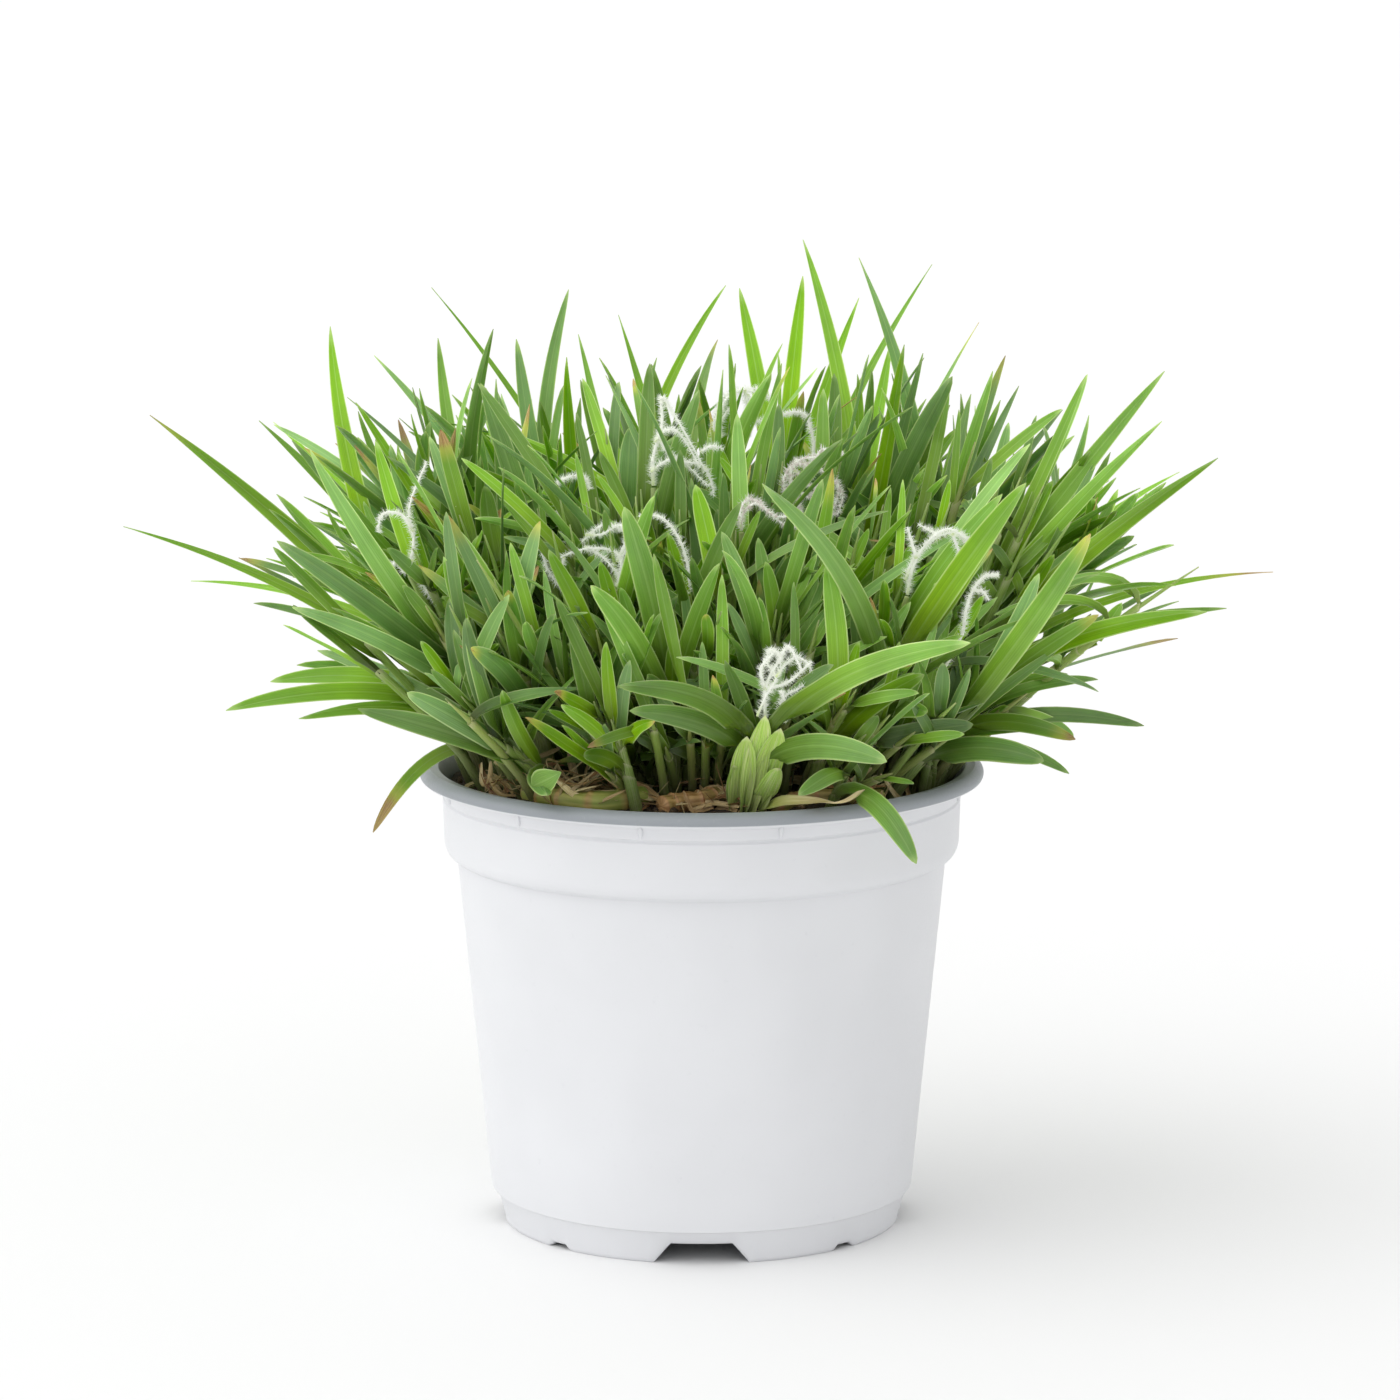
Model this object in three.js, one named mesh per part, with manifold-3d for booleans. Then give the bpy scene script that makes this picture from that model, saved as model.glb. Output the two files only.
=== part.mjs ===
// A potted kikuyu grass in millimetres, +Z up. The origin is on the ground, under the middle of the pot.
// The viewer of the front stands on the -Y side.
import * as THREE from "three";
import { mergeVertices } from "three/addons/utils/BufferGeometryUtils.js";
import Module from "manifold-3d";

const wasm = await Module();
wasm.setup();

// Driving dimensions of the pot
const RIM_RADIUS = 65;
const RIM_TOP = 107;
const RIM_UNDERSIDE = 103.8;
const MOUTH_RADIUS = 60.2;
const COLLAR_RADIUS = 59.6;
const COLLAR_BOTTOM = 85.5;
const COLLAR_EASE = 91;
const COLLAR_TOP = 99.6;
const BODY_TOP_RADIUS = 56.3;
const BODY_FOOT_RADIUS = 48.8;
const FOOT_STEP = 8.2;
const FOOT_RADIUS = 45.9;
const WALL = 1.1;
const FLOOR_UNDERSIDE = 4.9;
const FLOOR = 1.3;
const FOOT_WALL = 2;
const SEGMENTS = 40;
const NOTCH = { count: 4, height: 4.6, top: 14.2, bottom: 22, turn: 0 };
const NICK = { count: 4, height: 1.2, top: 4, bottom: 6.6, turn: Math.PI / 4 };
const DRAIN = { count: 6, radius: 3.8, circle: 34, sides: 6 };

// Driving dimensions of the soil
const GAP = 0.3;
const TOUCH = 0.001;
const SOIL_EDGE = 102.4;
const SOIL_MOUND = 2.6;
const SOIL_RADIUS = 58;
const HOLE_DEPTH = 6;
const HOLE_HEIGHT = 20;

// Driving dimensions of the grass
const STEM_SIDES = 5;
const BRANCH_SIDES = 4;
const STEM_RINGS = [0, 0.4, 0.78, 1];
const STEM_RADIUS = 2;
const STEM_TAPER = 0.72;
const STEM_LIFT = 0.6;
const STEM_BEND = 0.35;
const FLOWER_STEM_TIP = 1.2;
const LEAF_SHARES = { lowest: 0.42, highest: 0.82, only: 0.75 };
const BLADE_WIDTH = 5.4;
const BLADE_KEEL = 0.5;
const BLADE_CUP = 0.16;
const BLADE_REACH = 0.45;
const NAMED_STATIONS = [0, 0.32, 0.74];
const DRAWN_STATIONS = [0, 0.36, 0.78];
const CLEAR_OF_STEM = 0.18;
const SPREAD = { x: 133, y: 110, low: 118, middle: 112, top: 101, roundness: 2.2 };
const DRAWN = {
  length: [38, 78],
  width: [3.6, 5.6],
  spread: [0.8, 0.14],
  outward: 0.12,
  reach: [0.84, 0.96],
};
const FRONT_RISE = { from: -30, slope: 0.45, more: 8 };
const SEED = 7;
const NAMED_TRIES = 40;
const DRAWN_TRIES = 70;
const CLEARANCE = 0.3;
const TRY_SHIFT = 0.6;
const TRY_ROLL = 0.04;
const TUFTS = { count: 10, stems: 3, blades: 4, room: 8.2, reach: 50, front: -22, tries: 4000 };
const TUFT_STEM = { height: [26, 60], lean: [0.18, 0.66], leanShare: 0.36, fan: 2.6, side: 0.8 };
const GOLDEN_ANGLE = Math.PI * (3 - Math.sqrt(5));
const GOLDEN_SHARE = 0.618;

// Driving dimensions of the flowers, runners and dry leaf
const STRAND_RADIUS = 0.75;
const STRAND_SIDES = 4;
const RUNNER = { steps: 9, sides: 7, slim: 0.9, joint: 1.1, jointEvery: 3 };
const DRY_LEAF_RIDGE = 0.8;
const DRY_LEAF_STATIONS = [0, 0.17, 0.33, 0.5, 0.67, 0.83];

// Leafy shoots that give the plant its outline. Each has its root on the soil, the top of its
// sheathed stem, its blades as [tip x, tip y, tip z, width seen from the front], and the number
// of blades that are drawn besides.
const SHOOTS = {
  left_front: {
    root: [-28, -38], top: [-46, -49, 121], more: 0,
    blades: [[-34, -63, 111, 5.4], [-76, -60, 130, 4.9], [-65, -62, 134, 4.7], [-52, -58, 150, 4.3]],
  },
  left_low: {
    root: [-42, -22], top: [-59, -27, 130], more: 1,
    blades: [[-75, -20, 94, 3.4], [-90, -45, 125, 4.2], [-107, -35, 125, 4.9], [-98, -20, 129, 4.7]],
  },
  left_wide: {
    root: [-34, -14], top: [-60, -29, 138], more: 1,
    blades: [[-89, -75, 155, 4.2], [-93, -64, 168, 5.2], [-87, -40, 185, 5.6]],
  },
  left_out: {
    root: [-49, -3], top: [-72, -3, 142], more: 1,
    blades: [
      [-107, 10, 153, 4], [-133, 5, 161, 3.4], [-97, -5, 170, 4.6], [-125, -12, 189, 5.6],
      [-86, 25, 205, 5.4],
    ],
  },
  left_behind: {
    root: [-47, 14], top: [-64, 20, 145], more: 2,
    blades: [[-121, 45, 142, 2.8], [-104, 40, 181, 4.4], [-102, 60, 178, 3.6]],
  },
  left_back: {
    root: [-38, 27], top: [-57, 30, 153], more: 2,
    blades: [[-92, 64, 147, 4.2], [-63, 70, 197, 4.4], [-48, 20, 205, 4]],
  },
  left_back_high: {
    root: [-25, 38], top: [-40, 46, 161], more: 1,
    blades: [[-76, 60, 194, 4.4], [-44, 60, 198, 4.5], [-32, 85, 207, 4.2]],
  },
  left_centre: {
    root: [-27, 6], top: [-38, 9, 156], more: 2,
    blades: [[-83, 36, 187, 4], [-72, 0, 178, 4.4], [-51, 15, 193, 5.4]],
  },
  left_near: {
    root: [-33, -29], top: [-43, -34, 142], more: 1,
    blades: [[-55, -64, 141, 4.6], [-57, -30, 169, 4.6], [-43, -44, 154, 4.8], [-36, -33, 168, 4.4]],
  },
  back_left: {
    root: [-12, 45], top: [-20, 55, 160], more: 1,
    blades: [
      [-65, 80, 208, 3], [-30, 95, 195, 3.4], [-29, 70, 187, 4.4], [-20, 90, 184, 4], [6, 85, 208, 3],
    ],
  },
  back_middle: {
    root: [2, 33], top: [-5, 42, 163], more: 1,
    blades: [[-20, 75, 202, 4.2], [-12, 60, 192, 4.6], [4, 100, 193, 4.4]],
  },
  back_out: {
    root: [6, 49], top: [9, 68, 143], more: 2,
    blades: [[16, 110, 160, 5], [-12, 106, 150, 4.8], [32, 102, 146, 4.6]],
  },
  back_right_middle: {
    root: [16, 38], top: [19, 46, 168], more: 1,
    blades: [[56, 95, 212, 3.4], [38, 85, 205, 4.5], [9, 70, 209, 5], [24, 60, 213, 4.6]],
  },
  back_right: {
    root: [30, 36], top: [38, 44, 163], more: 2,
    blades: [[67, 85, 199, 3], [45, 60, 197, 4], [24, 66, 221, 4.8]],
  },
  right_centre: {
    root: [30, 12], top: [40, 13, 160], more: 2,
    blades: [[51, 15, 200, 3.8], [57, -5, 197, 5.6]],
  },
  right_back: {
    root: [41, 22], top: [55, 24, 154], more: 2,
    blades: [[86, 60, 181, 4.4], [75, 50, 188, 3.8], [71, 35, 197, 4.6], [36, 15, 222, 5]],
  },
  right_out: {
    root: [47, 6], top: [68, 4, 150], more: 1,
    blades: [[114, 60, 166, 4], [104, -15, 188, 5], [106, 5, 197, 5.4], [88, 5, 196, 3.8]],
  },
  right_wide: {
    root: [47, -8], top: [65, -12, 138], more: 1,
    blades: [[112, -50, 150, 4.9], [120, -8, 144, 3.8], [133, 20, 148, 2.8], [116, -25, 181, 5.7]],
  },
  right_low: {
    root: [48, -20], top: [62, -24, 126], more: 1,
    blades: [
      [84, -16, 107, 3.6], [101, -15, 118, 4], [84, -38, 119, 4.6], [91, -5, 127, 4.2], [89, -35, 147, 4.6],
    ],
  },
  right_front: {
    root: [42, -32], top: [61, -36, 126], more: 0,
    blades: [[76, -54, 117, 5.8], [84, -80, 172, 5.6], [75, -45, 158, 4.6]],
  },
  right_near: {
    root: [31, -27], top: [47, -39, 142], more: 0,
    blades: [[50, -54, 128, 4.6], [13, -66, 181, 5.2], [70, -80, 183, 5.5]],
  },
  front_big: {
    root: [9, -46], top: [14, -57, 126], more: 0, radius: 3.2, flower: true,
    blades: [
      [40, -92, 124, 5.9], [-16, -74, 132, 5], [-18, -100, 142, 5.4], [57, -110, 153, 5.7],
      [29, -66, 141, 4.5],
    ],
  },
  front_small: {
    root: [-14, -52], top: [-20, -57, 127], more: 0, radius: 1.6,
    blades: [[-26, -68, 121, 3.8], [-31, -66, 132, 3.6], [-10, -64, 128, 4], [-21, -59, 145, 3.2]],
  },
  front_upright: {
    root: [24, -36], top: [31, -43, 128], more: 0,
    blades: [[49, -62, 138, 4.6], [22, -58, 136, 4.2], [30, -50, 163, 4.8]],
  },
  front_droop: {
    root: [28, -47], top: [33, -54, 116], more: 0, radius: 1.6,
    blades: [[46, -84, 102, 4.8], [21, -68, 112, 4]],
  },
  front_middle: {
    root: [-6, -36], top: [-7, -40, 132], more: 0,
    blades: [[-12, -64, 138, 4.6], [-24, -75, 160, 5.6], [4, -50, 161, 4.2], [-17, -60, 175, 5.8]],
  },
  flower_stem_left: {
    root: [-45, -13], top: [-66, -18, 153], more: 1, flower: true, blades: [[-74, -10, 183, 4]],
  },
  flower_stem_near_left: {
    root: [-20, -22], top: [-19, -26, 151], more: 2, flower: true, blades: [[-8, -30, 172, 4.2]],
  },
  flower_stem_hook: {
    root: [-2, -23], top: [-3, -28, 150], more: 1, flower: true, blades: [[9, -32, 172, 4.4]],
  },
  flower_stem_middle: {
    root: [-9, -4], top: [-11, -4, 171], more: 2, flower: true, blades: [[2, -8, 190, 4.6]],
  },
  flower_stem_back: {
    root: [2, 18], top: [3, 26, 176], more: 2, flower: true, blades: [[18, 22, 198, 4.4]],
  },
  flower_stem_wave: {
    root: [11, -10], top: [9, -19, 163], more: 1, flower: true, blades: [[8, -16, 190, 4.2]],
  },
  flower_stem_tangle: {
    root: [24, -4], top: [23, -6, 162], more: 2, flower: true, blades: [[32, -10, 184, 4.4]],
  },
  flower_stem_right: {
    root: [38, -19], top: [46, -30, 150], more: 1, flower: true, blades: [[66, -36, 172, 4.2]],
  },
};

// White flower strands. Each head comes out of the top of a shoot's stem, and each strand is a
// list of points. The first strand starts at the stem.
const FLOWERS = {
  flower_front: {
    shoot: "front_big",
    strands: [
      [[14, -59, 134], [17, -61, 141], [19, -62, 144], [22, -63, 139]],
      [[14, -59, 134], [13, -61, 139], [16, -62, 143]],
      [[14, -59, 134], [19, -61, 136], [24, -64, 141]],
    ],
  },
  flower_left: {
    shoot: "flower_stem_left",
    strands: [
      [[-65, -18, 161], [-66, -18, 168], [-62, -18, 179]],
      [[-65, -18, 163], [-68, -18, 167], [-72, -18, 167], [-73, -19, 163]],
    ],
  },
  flower_near_left: {
    shoot: "flower_stem_near_left",
    strands: [
      [[-18, -25, 155], [-19, -24, 159], [-26, -24, 160], [-34, -23, 157]],
      [[-19, -24, 157], [-17, -22, 163], [-22, -21, 165], [-27, -20, 161]],
      [[-31, -23, 158], [-32, -24, 153]],
    ],
  },
  flower_hook: {
    shoot: "flower_stem_hook",
    strands: [[[-3, -29, 156], [-5, -30, 163], [-9, -30, 168], [-14, -28, 168]]],
  },
  flower_middle: {
    shoot: "flower_stem_middle",
    strands: [
      [[-11, -5, 178], [-9, -6, 186], [-9, -6, 192], [-5, -6, 186], [1, -6, 175]],
      [[-10, -6, 183], [-6, -7, 178], [0, -7, 177]],
    ],
  },
  flower_back: {
    shoot: "flower_stem_back",
    strands: [
      [[3, 26, 182], [5, 26, 188], [10, 24, 190], [16, 24, 188]],
      [[10, 24, 190], [11, 24, 185], [11, 24, 179]],
    ],
  },
  flower_wave: {
    shoot: "flower_stem_wave",
    strands: [[[9, -21, 167], [12, -22, 170], [17, -22, 167], [22, -21, 168]]],
  },
  flower_tangle: {
    shoot: "flower_stem_tangle",
    strands: [
      [[22, -7, 168], [20, -9, 174], [22, -9, 178], [28, -8, 178], [31, -8, 171], [29, -8, 165]],
      [[21, -9, 176], [25, -8, 172], [29, -7, 174]],
    ],
  },
  flower_right: {
    shoot: "flower_stem_right",
    strands: [
      [[47, -31, 156], [50, -32, 162], [55, -34, 166], [60, -34, 163]],
      [[56, -34, 165], [58, -34, 159]],
      [[48, -32, 159], [46, -31, 166]],
    ],
  },
};

// Runners lie on the soil as [x, y] points, and dry leaves as [x, y, z] points.
const RUNNERS = {
  runner_left: { radius: 2.3, line: [[-39, -36], [-33, -43], [-23, -50], [-12, -45]] },
  runner_front: { radius: 2, line: [[-9, -53], [-5, -50], [0, -48], [4, -43]] },
  runner_right: { radius: 1.6, line: [[16, -53], [21, -45], [27, -41], [35, -40], [41, -38]] },
};
const DRY_LEAVES = {
  dry_leaf: {
    width: 3,
    line: [[13, -53, 105.5], [18, -56, 108.3], [25, -59, 108.9], [31, -61, 109], [36, -61, 112]],
  },
};

// Small tools

function randomFrom(seed) {
  let state = seed >>> 0;
  return () => {
    state = (state + 0x6d2b79f5) >>> 0;
    let t = Math.imul(state ^ (state >>> 15), state | 1);
    t ^= t + Math.imul(t ^ (t >>> 7), t | 61);
    return ((t ^ (t >>> 14)) >>> 0) / 4294967296;
  };
}

const vector = (a) => new THREE.Vector3(a[0], a[1], a[2]);
const mix = (a, b, share) => a + (b - a) * share;

function solidFrom(geometry) {
  const bare = new THREE.BufferGeometry();
  bare.setAttribute("position", geometry.getAttribute("position"));
  bare.setIndex(geometry.index);
  const merged = mergeVertices(bare, 1e-4);
  const kept = [];
  const index = merged.index.array;
  for (let i = 0; i < index.length; i += 3) {
    const [a, b, c] = [index[i], index[i + 1], index[i + 2]];
    if (a !== b && b !== c && c !== a) kept.push(a, b, c);
  }
  const build = (triangles) =>
    new wasm.Manifold(
      new wasm.Mesh({
        numProp: 3,
        vertProperties: new Float32Array(merged.attributes.position.array),
        triVerts: new Uint32Array(triangles),
      }),
    );
  const solid = build(kept);
  return solid.volume() > 0 ? solid : build(kept.reverse());
}

// Joined solids without the loose scraps and sealed specks that joining leaves.
function joined(a, b) {
  return a.add(b).decompose().sort((first, second) => second.volume() - first.volume())[0];
}

// Whether every edge still has two faces once corners that all but touch are taken as one.
function isSound(solid) {
  const { vertProperties, triVerts } = solid.getMesh();
  const spots = new Map();
  const spotOf = (v) => {
    const key = [0, 1, 2].map((k) => Math.round(vertProperties[3 * v + k] / TOUCH)).join();
    if (!spots.has(key)) spots.set(key, spots.size);
    return spots.get(key);
  };
  const edges = new Map();
  for (let i = 0; i < triVerts.length; i += 3) {
    const face = [0, 1, 2].map((k) => spotOf(triVerts[i + k]));
    if (new Set(face).size < 3) continue;
    face.forEach((from, k) => {
      const to = face[(k + 1) % 3];
      const key = Math.min(from, to) + "," + Math.max(from, to);
      edges.set(key, (edges.get(key) ?? 0) + 1);
    });
  }
  return [...edges.values()].every((count) => count === 2);
}

function geometryFrom(solid) {
  const mesh = solid.getMesh();
  const geometry = new THREE.BufferGeometry();
  geometry.setAttribute("position", new THREE.BufferAttribute(new Float32Array(mesh.vertProperties), 3));
  geometry.setIndex(new THREE.BufferAttribute(new Uint32Array(mesh.triVerts), 1));
  return geometry;
}

// A closed skin through rings of points. The last ring may be a single point.
function loft(rings) {
  const sides = rings[0].length;
  const index = [];
  for (let i = 1; i < sides - 1; i++) index.push(0, i + 1, i);
  for (let r = 0; r + 1 < rings.length; r++) {
    const low = r * sides;
    const high = low + sides;
    for (let i = 0; i < sides; i++) {
      const next = (i + 1) % sides;
      if (rings[r + 1].length === 1) {
        index.push(low + i, low + next, high);
      } else {
        index.push(low + i, low + next, high + next, low + i, high + next, high + i);
      }
    }
  }
  const last = (rings.length - 1) * sides;
  if (rings.at(-1).length > 1) {
    for (let i = 1; i < sides - 1; i++) index.push(last, last + i, last + i + 1);
  }
  const geometry = new THREE.BufferGeometry();
  const coordinates = rings.flat().flatMap((p) => p.toArray());
  geometry.setAttribute("position", new THREE.Float32BufferAttribute(coordinates, 3));
  geometry.setIndex(index);
  return geometry;
}

function ringAround(centre, direction, radius, sides) {
  const across = new THREE.Vector3(0, 1, 0).cross(direction);
  if (across.lengthSq() < 1e-3) across.set(1, 0, 0);
  across.normalize();
  const up = direction.clone().cross(across).normalize();
  return Array.from({ length: sides }, (_, i) => {
    const angle = (2 * Math.PI * i) / sides;
    const point = centre.clone().addScaledVector(across, radius * Math.cos(angle));
    return point.addScaledVector(up, radius * Math.sin(angle));
  });
}

// A closed tube along a curve, with a radius that changes along it.
function tubeSolid(curve, steps, sides, radiusAt) {
  const rings = [];
  for (let i = 0; i <= steps; i++) {
    const share = i / steps;
    rings.push(ringAround(curve.getPoint(share), curve.getTangent(share), radiusAt(share, i), sides));
  }
  return solidFrom(loft(rings));
}

// Pot: one moulded shell with a flanged rim, a collar, a tapering body and a notched foot.

// Radius of the pot's inner wall at a height.
function innerRadius(z) {
  const body = mix(BODY_FOOT_RADIUS, BODY_TOP_RADIUS, (z - FOOT_STEP) / (COLLAR_BOTTOM - FOOT_STEP));
  if (z < COLLAR_BOTTOM) return body - WALL;
  const ease = Math.min(1, (z - COLLAR_BOTTOM) / (COLLAR_EASE - COLLAR_BOTTOM));
  return mix(BODY_TOP_RADIUS, COLLAR_RADIUS, ease) - WALL;
}

function potProfile() {
  const inside = FOOT_RADIUS - FOOT_WALL;
  const floorTop = FLOOR_UNDERSIDE + FLOOR;
  const p = new THREE.Path();
  p.moveTo(0, FLOOR_UNDERSIDE);
  p.lineTo(inside, FLOOR_UNDERSIDE);
  p.lineTo(inside, 0);
  p.lineTo(FOOT_RADIUS - 0.3, 0);
  p.lineTo(FOOT_RADIUS + 0.5, 1.2);
  p.lineTo(BODY_FOOT_RADIUS - 1, FOOT_STEP - 0.7);
  p.lineTo(BODY_FOOT_RADIUS, FOOT_STEP);
  p.lineTo(BODY_TOP_RADIUS, COLLAR_BOTTOM);
  p.lineTo(COLLAR_RADIUS - 1.1, COLLAR_BOTTOM + 1.8);
  p.lineTo(COLLAR_RADIUS - 0.4, COLLAR_EASE);
  p.lineTo(COLLAR_RADIUS, COLLAR_TOP);
  p.lineTo(COLLAR_RADIUS + 1.9, RIM_UNDERSIDE);
  p.lineTo(RIM_RADIUS - 0.8, RIM_UNDERSIDE);
  p.quadraticCurveTo(RIM_RADIUS + 0.75, RIM_UNDERSIDE + 1.6, RIM_RADIUS - 1.6, RIM_TOP);
  p.lineTo(MOUTH_RADIUS + 0.9, RIM_TOP);
  p.lineTo(MOUTH_RADIUS, RIM_TOP - 0.9);
  p.lineTo(innerRadius(COLLAR_TOP), COLLAR_TOP);
  p.lineTo(innerRadius(COLLAR_EASE), COLLAR_EASE);
  p.lineTo(innerRadius(COLLAR_BOTTOM), COLLAR_BOTTOM);
  p.lineTo(innerRadius(floorTop), floorTop);
  p.lineTo(0, floorTop);
  return p.getPoints(2);
}

function turned(points) {
  return solidFrom(new THREE.LatheGeometry(points, SEGMENTS).rotateX(Math.PI / 2));
}

// A notch through the foot: a flat-topped shape that widens downwards, cut along a radius.
function footCutter({ height, top, bottom }, angle) {
  const below = 1;
  const flare = ((bottom - top) / 2) * (below / height);
  const outline = new THREE.Shape();
  outline.moveTo(-bottom / 2 - flare, -below);
  outline.lineTo(bottom / 2 + flare, -below);
  outline.lineTo(top / 2, height);
  outline.lineTo(-top / 2, height);
  const bar = new THREE.ExtrudeGeometry(outline, { depth: 12, bevelEnabled: false });
  bar.rotateX(Math.PI / 2).translate(0, 6 - FOOT_RADIUS, 0).rotateZ(angle);
  return solidFrom(bar);
}

function pot() {
  let solid = turned(potProfile());
  for (const notch of [NOTCH, NICK]) {
    for (let i = 0; i < notch.count; i++) {
      solid = solid.subtract(footCutter(notch, notch.turn + (i * 2 * Math.PI) / notch.count));
    }
  }
  for (let i = 0; i < DRAIN.count; i++) {
    const hole = new THREE.CylinderGeometry(DRAIN.radius, DRAIN.radius, 10, DRAIN.sides);
    hole.rotateX(Math.PI / 2).translate(DRAIN.circle, 0, FLOOR_UNDERSIDE);
    solid = solid.subtract(solidFrom(hole.rotateZ(((i + 0.5) * 2 * Math.PI) / DRAIN.count)));
  }
  return solid;
}

// Soil: fills the pot, with a low mound on top and a plain hole for each stem.
function soilTop(x, y) {
  const r = Math.min(1, Math.hypot(x, y) / SOIL_RADIUS);
  return SOIL_EDGE + SOIL_MOUND * (1 - r * r);
}

function soil(rooted) {
  const bottom = FLOOR_UNDERSIDE + FLOOR + GAP;
  const outline = [[0, bottom]];
  for (const z of [bottom, COLLAR_BOTTOM, SOIL_EDGE]) outline.push([innerRadius(z) - GAP, z]);
  for (const share of [0.65, 0]) {
    outline.push([SOIL_RADIUS * share, soilTop(SOIL_RADIUS * share, 0)]);
  }
  let solid = turned(outline.map(([r, z]) => new THREE.Vector2(r, z)));
  const up = new THREE.Vector3(0, 0, 1);
  for (const stem of rooted) {
    const [x, y] = stem.root;
    const low = soilTop(x, y) - HOLE_DEPTH - GAP;
    const radius = stem.radius + GAP / Math.cos(Math.PI / STEM_SIDES);
    const ringAt = (z) => ringAround(new THREE.Vector3(x, y, z), up, radius, STEM_SIDES);
    solid = solid.subtract(solidFrom(loft([ringAt(low), ringAt(low + HOLE_HEIGHT)])));
  }
  return solid;
}

// A stem of wrapped sheaths: upright in its hole, then curving over to its top.
function makeStem(root, top, radius = STEM_RADIUS, flower = false) {
  const [x, y] = root;
  const ground = soilTop(x, y);
  const start = new THREE.Vector3(x, y, ground + STEM_LIFT);
  const end = vector(top);
  const knee = start.clone().lerp(end, STEM_BEND);
  knee.z = mix(start.z, end.z, 0.5);
  const curve = new THREE.QuadraticBezierCurve3(start, knee, end);
  return { root, radius, curve, ground, flower };
}

// Side stems branch from the first stem's foot, so they have none of their own in the soil.
function stemSolid({ root, radius, curve, ground, flower }, branch = false) {
  const up = new THREE.Vector3(0, 0, 1);
  const sides = branch ? BRANCH_SIDES : STEM_SIDES;
  const foot = new THREE.Vector3(root[0], root[1], ground - HOLE_DEPTH);
  const rings = branch ? [] : [ringAround(foot, up, radius, sides)];
  rings.push(ringAround(curve.getPoint(0), up, radius, sides));
  for (const share of STEM_RINGS.slice(1, -1)) {
    const size = radius * mix(1, STEM_TAPER, share);
    rings.push(ringAround(curve.getPoint(share), curve.getTangent(share), size, sides));
  }
  const end = curve.getPoint(1);
  rings.push(flower ? ringAround(end, curve.getTangent(1), FLOWER_STEM_TIP, sides) : [end]);
  return solidFrom(loft(rings));
}

// Blade: a long tapering strip on a bent centreline, three-sided, with a keel below.
function bladeWidth(share) {
  const foot = Math.min(1, share / 0.35);
  return (0.42 + 0.58 * Math.sin((Math.PI / 2) * foot)) * (1 - share ** 3) ** 0.85;
}

function bladeLine({ from, along, tip }) {
  const chord = tip.clone().sub(from);
  const length = chord.length();
  const leave = chord.normalize().add(along).normalize();
  const bend = from.clone().addScaledVector(leave, BLADE_REACH * length);
  return new THREE.QuadraticBezierCurve3(from, bend, tip);
}

function bladeSolid(blade, stations, extra = 0) {
  const line = bladeLine(blade);
  const rings = stations.map((share) => {
    const centre = line.getPoint(share);
    const tangent = line.getTangent(share);
    const side = tangent.clone().cross(blade.facing).normalize();
    const normal = side.clone().cross(tangent).normalize();
    const half = (blade.width / 2) * bladeWidth(share) + extra;
    const lift = BLADE_CUP * half + extra;
    return [
      centre.clone().addScaledVector(side, half).addScaledVector(normal, lift),
      centre.clone().addScaledVector(normal, -BLADE_KEEL - extra),
      centre.clone().addScaledVector(side, -half).addScaledVector(normal, lift),
    ];
  });
  rings.push([blade.tip.clone()]);
  return solidFrom(loft(rings));
}

// Where blade i of n leaves its stem, on the straight line between two rings of the stem.
function attach(stem, i, n) {
  const { lowest, highest, only } = LEAF_SHARES;
  const share = n > 1 ? mix(lowest, highest, i / (n - 1)) : only;
  const ring = STEM_RINGS.findIndex((high) => high > share);
  const [low, high] = [STEM_RINGS[ring - 1], STEM_RINGS[ring]];
  const from = stem.curve.getPoint(low).lerp(stem.curve.getPoint(high), (share - low) / (high - low));
  return { from, along: stem.curve.getTangent(share) };
}

// A named blade's tip is given. Each further try moves it a little more and turns its face.
function namedBlade(stem, given, i, n, id, attempt) {
  const random = randomFrom(SEED + 1000 * id + 60 * i + attempt);
  const shift = () => (random() - 0.5) * TRY_SHIFT * attempt;
  const tip = new THREE.Vector3(given[0] + shift(), given[1] + shift(), given[2] + shift());
  const { from, along } = attach(stem, i, n);
  const width = Math.max(BLADE_WIDTH, given[3]);
  const roll = Math.acos(given[3] / width) * (random() < 0.5 ? -1 : 1);
  const moreRoll = (random() - 0.5) * TRY_ROLL * attempt;
  const chord = tip.clone().sub(from).normalize();
  const facing = new THREE.Vector3(0, -1, 0.55 + 3 * chord.y ** 2).normalize();
  facing.applyAxisAngle(chord, roll + moreRoll);
  return { from, along, tip, facing, width };
}

// How far out a point is in the plant's rounded outline: 0 in the middle and 1 at the outline.
function reachOf(p) {
  const high = Math.max(0, p.z - SPREAD.middle);
  const shares = [p.x / SPREAD.x, p.y / SPREAD.y, high / SPREAD.top];
  const sum = shares.reduce((total, share) => total + Math.abs(share) ** SPREAD.roundness, 0);
  return sum ** (1 / SPREAD.roundness);
}

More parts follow.
